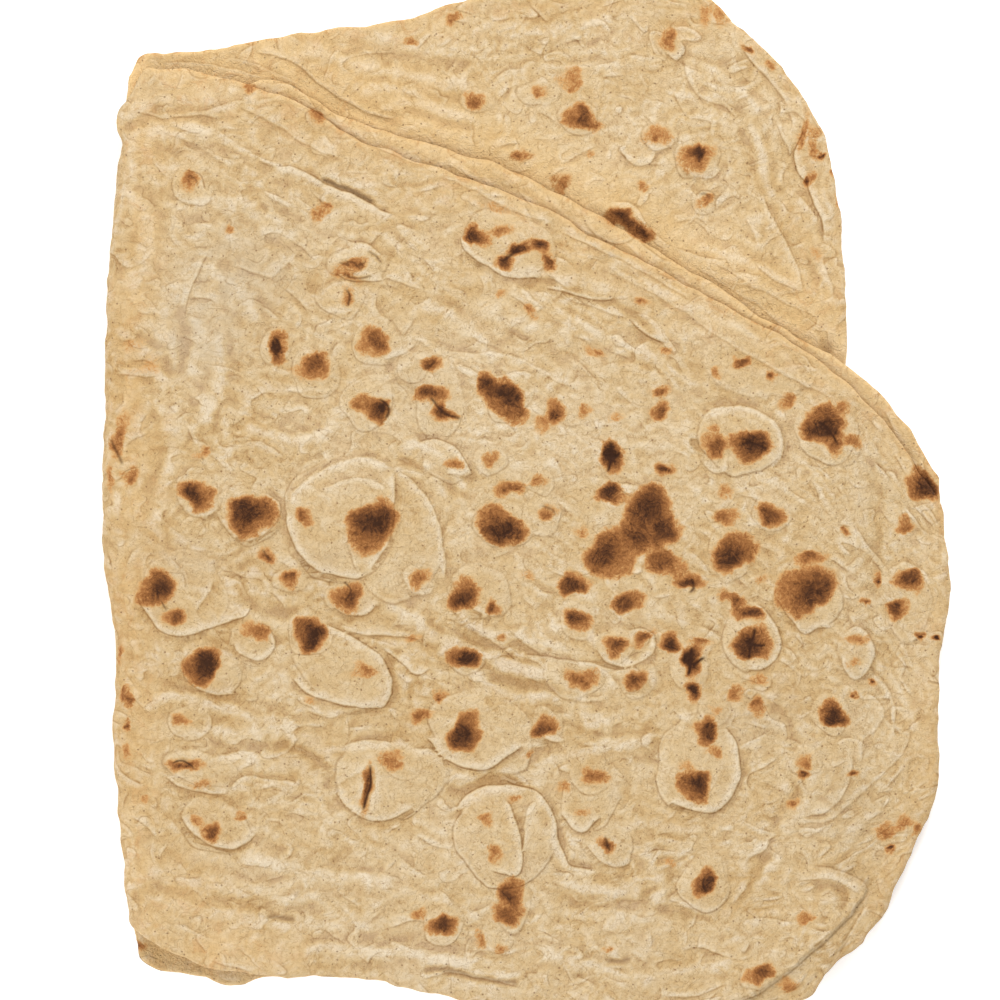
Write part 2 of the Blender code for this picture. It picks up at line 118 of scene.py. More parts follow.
# Blisters: left, right, top, bottom in pixels, turn in degrees, rise in mm
BLISTERS = [
    (286, 402, 452, 580, 0, 2.2), (352, 448, 466, 600, 8, 1.1), (139, 228, 552, 637, 20, 1.5),
    (182, 241, 647, 694, 5, 1.3), (292, 396, 640, 704, 30, 1.7), (432, 534, 690, 770, 30, 2.1),
    (335, 444, 739, 819, 0, 2.0), (455, 560, 785, 884, 0, 2.3), (655, 741, 718, 814, 0, 1.6),
    (697, 784, 404, 474, 0, 1.7), (797, 856, 400, 462, 0, 1.2), (777, 839, 556, 633, 0, 1.5),
    (461, 551, 212, 276, 15, 1.6), (330, 389, 244, 283, 0, 1.5), (352, 402, 319, 366, 0, 1.2),
    (291, 340, 350, 398, 0, 1.2), (216, 281, 487, 541, 15, 1.4), (476, 532, 500, 548, 0, 1.3),
    (450, 510, 563, 620, 30, 1.3), (562, 616, 770, 832, 20, 1.4), (678, 732, 856, 909, 0, 1.5),
    (178, 252, 800, 851, 20, 1.6), (163, 240, 752, 785, 10, 1.3), (838, 875, 625, 681, 0, 1.1),
    (724, 780, 598, 672, 0, 1.3), (676, 719, 138, 178, 0, 1.4), (558, 600, 100, 133, 15, 1.2),
    (888, 930, 560, 642, 0, 0.9), (172, 213, 167, 205, 15, 1.2), (318, 362, 280, 317, 0, 1.1),
    (263, 289, 328, 364, 0, 1.1), (398, 430, 350, 382, 0, 1.0), (342, 393, 374, 428, 0, 1.3),
    (415, 464, 362, 437, 0, 1.1), (418, 474, 436, 480, 30, 1.2), (178, 222, 472, 518, 0, 1.2),
    (274, 306, 566, 592, 0, 0.9), (325, 378, 578, 616, 10, 1.2), (400, 437, 564, 596, 0, 1.0),
    (228, 276, 616, 664, 0, 1.1), (288, 332, 610, 655, 0, 1.1), (447, 482, 643, 674, 0, 1.1),
    (170, 213, 704, 738, 0, 0.9), (585, 634, 820, 868, 30, 1.3), (557, 611, 786, 833, 0, 0.9),
    (572, 612, 756, 792, 0, 0.9), (531, 562, 703, 744, 0, 0.9), (642, 678, 121, 152, 0, 1.0),
    (660, 685, 30, 58, 0, 0.9), (545, 600, 640, 700, 0, 0.9), (594, 634, 626, 666, 0, 0.9),
    (620, 655, 662, 696, 0, 0.9), (522, 562, 492, 536, 0, 1.0), (474, 506, 446, 474, 0, 0.8),
    (524, 552, 468, 494, 0, 0.8), (800, 860, 424, 462, 20, 0.6), (700, 800, 340, 396, 20, 0.6),
    (708, 752, 524, 580, 0, 0.7), (752, 790, 494, 530, 0, 0.7), (700, 728, 440, 470, 0, 0.6),
    (384, 420, 744, 780, 0, 0.7), (484, 512, 905, 955, 0, 0.7), (498, 530, 878, 932, 0, 0.8),
    (424, 462, 906, 946, 20, 0.9), (560, 596, 600, 640, 0, 0.6), (668, 708, 644, 690, 0, 0.7),
    (812, 850, 694, 734, 0, 0.7), (520, 560, 80, 104, 0, 0.6), (462, 492, 88, 112, 20, 0.7),
    (692, 722, 186, 214, 0, 0.9), (582, 640, 198, 240, 30, 0.9), (360, 400, 590, 640, 30, 0.6),
    (744, 775, 610, 630, 0, 0.7), (700, 730, 694, 726, 0, 0.6), (792, 820, 746, 776, 0, 0.6),
    (552, 606, 400, 424, 0, 0.6), (488, 530, 374, 424, 35, 0.8), (740, 775, 962, 990, 0, 0.7),
]

# Toasted spots: x, y, width, height in pixels, turn in degrees, darkness from 0 to 1
SPOTS = [
    (190, 181, 18, 16, 0, .5), (229, 230, 9, 8, 0, .35), (320, 212, 14, 20, 20, .38),
    (326, 206, 8, 9, 0, .5), (353, 265, 34, 11, -10, .55), (373, 342, 32, 26, -15, .62),
    (278, 346, 16, 27, 0, .95), (316, 367, 31, 24, 20, .68), (301, 371, 18, 14, 0, .35),
    (432, 365, 18, 14, 0, .65), (432, 393, 28, 18, 0, .78), (442, 413, 28, 15, 10, .9),
    (374, 408, 28, 24, 0, .72), (380, 409, 14, 20, 20, .95), (357, 404, 11, 11, 0, .5),
    (505, 399, 54, 30, 35, .9), (486, 386, 22, 22, 0, .8), (555, 412, 18, 22, 0, .72),
    (542, 425, 18, 14, 0, .4), (585, 411, 14, 12, 0, .42), (616, 417, 16, 12, 0, .25),
    (203, 453, 18, 7, -30, .5), (453, 463, 18, 9, 25, .5), (490, 459, 16, 14, 0, .42),
    (508, 488, 24, 13, 0, .66), (539, 481, 14, 14, 0, .42), (547, 513, 20, 12, -20, .5),
    (198, 495, 26, 32, -30, .85), (252, 515, 50, 36, 10, .9), (305, 516, 16, 18, 0, .62),
    (117, 448, 9, 22, 0, .42), (347, 298, 13, 17, 0, .5), (345, 276, 26, 6, 20, .5),
    (132, 476, 12, 18, 0, .5), (370, 528, 42, 52, 10, .87), (384, 514, 22, 30, 0, .7),
    (500, 526, 44, 36, 10, .9), (267, 555, 16, 14, 0, .6), (290, 578, 18, 14, 0, .72),
    (347, 597, 34, 22, -20, .7), (421, 577, 22, 18, 0, .48), (465, 594, 28, 28, -10, .85),
    (493, 608, 16, 11, 25, .75), (157, 588, 34, 32, 0, .9), (175, 617, 20, 16, 0, .68),
    (256, 631, 26, 18, 20, .5), (310, 634, 32, 30, 0, 1.0), (202, 666, 40, 30, -15, 1.0),
    (363, 670, 22, 16, 0, .45), (413, 637, 10, 10, 0, .4), (463, 657, 24, 20, 0, .95),
    (503, 637, 9, 8, 0, .4), (439, 696, 11, 12, 0, .6), (420, 716, 18, 14, 0, .55),
    (466, 732, 30, 36, 10, .9), (180, 720, 16, 12, 0, .45), (182, 765, 26, 7, 5, .9),
    (200, 785, 24, 9, -10, .3), (126, 694, 8, 14, 0, .5), (127, 726, 8, 12, 0, .5),
    (127, 752, 8, 12, 0, .5), (393, 760, 24, 20, 0, .42), (368, 785, 7, 38, 8, .9),
    (212, 831, 13, 19, 20, .75), (241, 814, 12, 12, 0, .4), (198, 821, 12, 10, 0, .4),
    (486, 818, 14, 12, 0, .45), (494, 853, 13, 22, 0, .42), (514, 799, 12, 8, 0, .35),
    (511, 893, 28, 26, 0, .8), (510, 912, 34, 22, 0, .62), (443, 925, 28, 18, -15, .85),
    (421, 913, 14, 10, 0, .35), (480, 940, 14, 18, 0, .35), (501, 949, 12, 10, 0, .35),
    (608, 948, 8, 6, 0, .45), (546, 726, 22, 20, 0, .75), (583, 679, 28, 24, 0, .56),
    (635, 678, 20, 18, 0, .68), (692, 660, 18, 26, 0, 1.1), (693, 691, 11, 14, 0, .95),
    (702, 642, 16, 6, 0, .6), (670, 643, 17, 18, 0, .95), (614, 647, 18, 24, 0, .7),
    (641, 639, 22, 9, -30, .7), (736, 694, 17, 14, 0, .5), (756, 706, 16, 16, 0, .56),
    (758, 680, 16, 12, 0, .34), (714, 710, 12, 10, 0, .3), (832, 713, 25, 24, 0, .95),
    (705, 730, 25, 22, 0, .85), (714, 751, 16, 12, 0, .4), (695, 786, 30, 30, 0, .9),
    (686, 771, 22, 20, 0, .25), (805, 762, 17, 14, 0, .46), (793, 804, 12, 8, 0, .5),
    (594, 777, 26, 18, -10, .52), (562, 787, 14, 12, 0, .3), (528, 755, 7, 6, 0, .5),
    (606, 843, 11, 15, -20, .7), (583, 812, 14, 10, 0, .3), (705, 883, 20, 24, 10, .85),
    (668, 863, 14, 12, 0, .28), (886, 831, 22, 16, 0, .42), (905, 822, 16, 18, 20, .36),
    (918, 828, 8, 9, 0, .5), (805, 917, 15, 12, 0, .46), (759, 974, 24, 18, -20, .68),
    (788, 985, 20, 12, 0, .46), (453, 17, 14, 12, 0, .42), (412, 41, 14, 10, 0, .42),
    (475, 100, 18, 18, 0, .58), (570, 77, 22, 26, 0, .34), (572, 88, 9, 6, 0, .5),
    (539, 93, 14, 12, 0, .38), (579, 116, 34, 22, 10, .75), (595, 125, 12, 12, 0, .45),
    (521, 155, 20, 12, 0, .52), (561, 182, 20, 18, 0, .42), (591, 153, 9, 8, 0, .28),
    (658, 135, 26, 22, 0, .34), (655, 138, 9, 9, 0, .55), (697, 158, 34, 30, 0, .42),
    (695, 153, 20, 15, 0, .92), (642, 186, 12, 10, 0, .38), (705, 200, 20, 8, -30, .46),
    (668, 40, 17, 20, 0, .46), (622, 218, 32, 16, 30, .86), (640, 232, 22, 14, 35, .8),
    (475, 237, 22, 18, 10, .88), (502, 231, 20, 12, 0, .42), (505, 263, 16, 12, -30, .75),
    (519, 249, 20, 10, -30, .85), (541, 247, 18, 12, 20, .9), (549, 263, 13, 14, 0, .75),
    (490, 206, 44, 8, 15, .2), (531, 310, 17, 9, 40, .38), (502, 294, 12, 9, 0, .32),
    (642, 303, 15, 8, 30, .5), (596, 353, 16, 7, 25, .55), (665, 351, 12, 12, 0, .36),
    (740, 363, 14, 13, 0, .74), (772, 375, 9, 14, 0, .66), (717, 372, 13, 11, 0, .36),
    (662, 391, 17, 8, -10, .62), (660, 411, 16, 18, 0, .68), (612, 457, 22, 27, 0, 1.0),
    (665, 470, 13, 12, 0, .85), (611, 493, 28, 16, 10, .92), (648, 518, 54, 52, 0, .79),
    (659, 532, 34, 40, 0, .76), (611, 556, 54, 40, 0, .74), (581, 531, 16, 10, 20, .35),
    (665, 564, 38, 26, 25, .66), (690, 581, 22, 15, 10, .84), (572, 583, 29, 20, 15, .82),
    (628, 602, 27, 21, 0, .78), (576, 620, 22, 20, 0, .8), (596, 560, 22, 26, 0, .6),
    (526, 575, 12, 10, 0, .25), (644, 503, 34, 22, 0, .62), (632, 540, 34, 30, 0, .7),
    (724, 490, 16, 14, 0, .32), (727, 517, 21, 18, 0, .5), (770, 514, 27, 20, 10, .78),
    (735, 551, 42, 36, 0, .85), (714, 446, 20, 28, 0, .62), (714, 428, 10, 12, 0, .4),
    (749, 446, 46, 26, 5, .88), (823, 424, 40, 36, 10, .95), (836, 446, 14, 18, 0, .6),
    (853, 442, 20, 12, 20, .45), (786, 401, 20, 14, 0, .42), (844, 407, 14, 12, 0, .42),
    (921, 486, 26, 34, -20, .88), (904, 525, 15, 17, 0, .5), (803.7, 590, 52, 49, 0, .81),
    (810, 559, 26, 14, 0, .6), (909, 580, 25, 24, 0, .8), (898, 610, 18, 20, 0, .78),
    (748, 613, 30, 13, 15, .9), (737, 602, 18, 14, 0, .66), (724, 594, 12, 8, 0, .42),
    (753, 643, 32, 34, 0, .92), (761, 580, 10, 10, 0, .32), (855, 640, 26, 9, 0, .4),
    (855, 662, 18, 9, 0, .32), (248, 88, 16, 8, 15, .4), (317, 117, 16, 10, 20, .46),
    (310, 700, 12, 8, 0, .32), (705, 12, 16, 22, 0, .28), (720, 15, 14, 24, 0, .30),
    (748, 47, 12, 5, 40, .75), (771, 63, 9, 12, 0, .40), (806, 127, 6, 22, 15, .45),
    (801, 143, 5, 16, 10, .42), (816, 131, 12, 16, 0, .30), (813, 148, 10, 14, 0, .36),
    (822, 157, 5, 6, 0, 1.0), (833, 173, 5, 5, 0, 1.0), (812, 176, 8, 14, 20, .42), (839, 200, 5, 7, 0, .9),
    (819, 256, 18, 16, 0, .18), (808, 182, 5, 6, 0, .95), (876, 579, 5, 6, 0, 1.1),
    (865, 603, 5, 4, 0, 1.0), (921, 635, 5, 5, 0, 1.0), (936, 638, 5, 5, 0, 1.1), (872, 682, 5, 5, 0, 1.0),
    (853, 775, 5, 4, 0, 1.0), (891, 850, 6, 6, 0, 1.2), (803, 775, 5, 4, 0, .95), (845, 531, 6, 5, 0, 1.2),
    (852, 693, 5, 7, 0, .9), (130, 701, 10, 18, -20, .55), (127, 726, 8, 8, 0, .7),
    (145, 799, 9, 5, 30, .5), (119, 655, 8, 20, 0, .45), (120, 441, 6, 26, 10, .50),
    (130, 478, 14, 18, 15, .42), (111, 478, 6, 30, 0, .42), (136, 946, 12, 9, 0, .8),
    (135, 345, 26, 14, -30, .2), (152, 365, 24, 16, -30, .2), (125, 420, 14, 30, 0, .25),
]

# Dark cracks in blisters and spots: points in pixels, width in pixels, darkness from 0 to 1, depth in mm
CRACKS = [
    ([(370, 764), (371, 780), (367, 796), (363, 811)], 2.2, 1.0, .8),
    ([(171, 764), (182, 761), (191, 764), (195, 770)], 1.6, .9, .5),
    # The next one is painted shade in a crease above a lip, drawn as a crack
    ([(320, 178), (338, 186), (356, 193), (376, 204)], 3.0, .55, .6),
    ([(340, 261), (354, 263), (362, 272)], 1.4, .6, .3),
    ([(345, 288), (350, 298), (347, 309)], 2.0, .75, .5),
    ([(112, 438), (118, 453), (124, 467)], 2.2, .6, .4),
    ([(611, 440), (611, 458), (607, 474)], 3.0, 1.0, .5),
    ([(600, 452), (612, 458), (622, 451)], 2.6, 1.0, .4),
    ([(692, 646), (690, 662), (688, 678)], 2.6, 1.1, .5),
    ([(679, 658), (692, 664), (706, 656)], 2.4, 1.0, .4),
    ([(755, 626), (752, 644), (747, 662)], 2.2, 1.0, .4),
    ([(742, 640), (755, 645), (768, 644)], 2.0, .95, .3),
    ([(690, 577), (694, 587), (688, 594)], 2.0, .85, .3),
    ([(706, 874), (703, 884), (708, 893)], 2.0, .95, .3),
    ([(429, 396), (444, 412), (462, 420)], 2.0, .8, .4),
    ([(378, 398), (389, 408), (385, 420)], 2.2, .95, .4),
    ([(274, 336), (279, 348), (275, 357)], 2.4, 1.0, .5),
    ([(337, 262), (352, 266), (369, 262)], 2.0, .55, .5),
    ([(341, 273), (356, 279), (374, 276)], 1.8, .5, .4),
    ([(366, 250), (376, 256), (383, 266)], 1.6, .45, .3),
    ([(697, 195), (705, 193), (712, 199)], 2.0, .5, .4),
    ([(604, 834), (608, 846), (611, 852)], 2.4, .75, .4),
    ([(502, 263), (512, 254), (522, 245)], 3.0, .85, .4),
    ([(504, 520), (512, 528), (498, 538)], 2.0, .9, .3),
    ([(344, 580), (351, 590), (345, 602)], 1.6, .7, .3),
    ([(458, 722), (468, 732), (464, 744)], 1.8, .85, .3), ([(200, 455), (206, 462)], 1.8, .5, .3),
    ([(262, 548), (267, 556), (273, 562)], 1.8, .6, .3),
    ([(738, 446), (750, 443), (768, 450)], 2.2, .95, .4),
    ([(816, 420), (828, 430), (838, 446)], 2.0, .95, .3),
    ([(188, 174), (196, 180), (199, 187)], 1.6, .4, .3),
    ([(540, 505), (552, 509), (556, 516)], 1.8, .5, .3),
    ([(421, 970), (449, 970), (480, 978), (520, 983)], 3.0, .22, .8),
    ([(264, 917), (282, 917), (298, 921)], 3.0, .3, .7),
    ([(605, 960), (620, 961), (633, 958)], 2.5, .25, .5),
    ([(438, 360), (430, 366), (424, 371)], 1.8, .6, .3), ([(160, 598), (168, 612)], 1.6, .6, .3),
]

# Soft creases and ridges of the dough: points in pixels, width in pixels, height in mm (below 0 for a crease)
WAVES = [
    ([(294, 61), (325, 89), (361, 107), (407, 117)], 12, -.9),
    ([(121, 133), (162, 110), (218, 117)], 8, -.7),
    ([(516, 277), (575, 291), (624, 309), (660, 340)], 7, -.6),
    ([(771, 844), (763, 864), (746, 884)], 6, -.6), ([(886, 800), (862, 822), (835, 842)], 7, .35),
    ([(805, 886), (830, 887), (846, 894), (838, 912)], 6, -.6),
    ([(690, 245), (740, 258), (800, 290)], 5, .35), ([(700, 280), (760, 310), (830, 345)], 5, .35),
    ([(380, 600), (440, 632), (500, 660), (545, 672), (590, 700)], 8, .8),
    ([(420, 620), (470, 640), (530, 655), (600, 668)], 7, -.6),
    ([(540, 620), (600, 640), (660, 690)], 7, .5),
    ([(440, 640), (500, 690), (560, 700), (620, 730)], 8, .6),
    ([(500, 640), (560, 655), (600, 690)], 6, -.5),
    ([(530, 770), (560, 760), (600, 745), (660, 740)], 8, .5),
    ([(440, 790), (470, 786), (506, 776), (540, 800)], 7, -.8),
    ([(540, 800), (556, 830), (570, 856)], 6, -.7), ([(400, 640), (390, 670), (400, 700)], 8, -.6),
    ([(690, 73), (706, 95), (723, 104), (747, 113)], 8, -.5), ([(700, 60), (735, 84), (765, 118)], 6, .4),
    ([(757, 130), (766, 170), (776, 204)], 5, .35), ([(740, 120), (752, 150), (756, 180)], 6, -.35),
    ([(808, 250), (814, 270), (818, 292)], 6, -.5), ([(300, 40), (350, 60), (420, 78), (480, 84)], 8, .6),
    ([(340, 36), (400, 56), (480, 62)], 8, -.6), ([(360, 80), (420, 96), (470, 122)], 7, .5),
    ([(400, 100), (440, 120), (480, 128)], 6, -.5), ([(255, 60), (300, 90), (360, 120)], 7, -.5),
    ([(480, 20), (540, 30), (620, 16)], 9, .5), ([(150, 150), (220, 150), (300, 190)], 10, -.5),
    ([(160, 210), (230, 200), (300, 240)], 9, .5), ([(180, 300), (186, 340), (178, 380)], 10, -.8),
    ([(200, 260), (240, 290), (260, 330)], 10, .6), ([(215, 330), (220, 380), (200, 430)], 9, .6),
    ([(150, 400), (160, 440), (150, 500)], 9, -.5), ([(130, 330), (160, 345), (170, 380)], 6, -.6),
    ([(120, 380), (150, 370), (170, 390)], 6, .6), ([(120, 180), (150, 230), (130, 300)], 10, .5),
    ([(240, 430), (300, 440), (340, 420)], 9, .5), ([(140, 700), (200, 700), (300, 730)], 8, .5),
    ([(200, 745), (300, 750), (340, 790)], 8, -.6), ([(240, 850), (300, 870), (400, 880)], 9, .5),
    ([(140, 880), (220, 900), (330, 910)], 8, -.5), ([(300, 950), (400, 950), (480, 965)], 8, .6),
    ([(540, 950), (640, 975), (740, 960)], 8, .5), ([(560, 900), (640, 905), (720, 925)], 8, -.5),
    ([(560, 880), (610, 890), (660, 870)], 8, .5),
    ([(760, 700), (790, 720), (800, 780), (770, 830)], 8, -.5),
    ([(640, 840), (660, 880), (650, 920)], 7, .5), ([(640, 280), (700, 310), (780, 350)], 7, .45),
    ([(560, 320), (640, 350), (700, 390)], 8, .45), ([(500, 330), (560, 350), (600, 390)], 9, -.45),
    ([(420, 300), (470, 330), (500, 360)], 8, .45), ([(870, 450), (880, 520), (872, 600)], 9, -.45),
    ([(860, 640), (900, 690), (920, 740)], 7, .5), ([(300, 620), (250, 600), (232, 560)], 8, -.5),
    ([(390, 466), (424, 474), (450, 500)], 5, .5), ([(404, 440), (440, 455), (470, 490)], 5, .6),
    ([(396, 452), (420, 466), (440, 490)], 4, -.5),
]
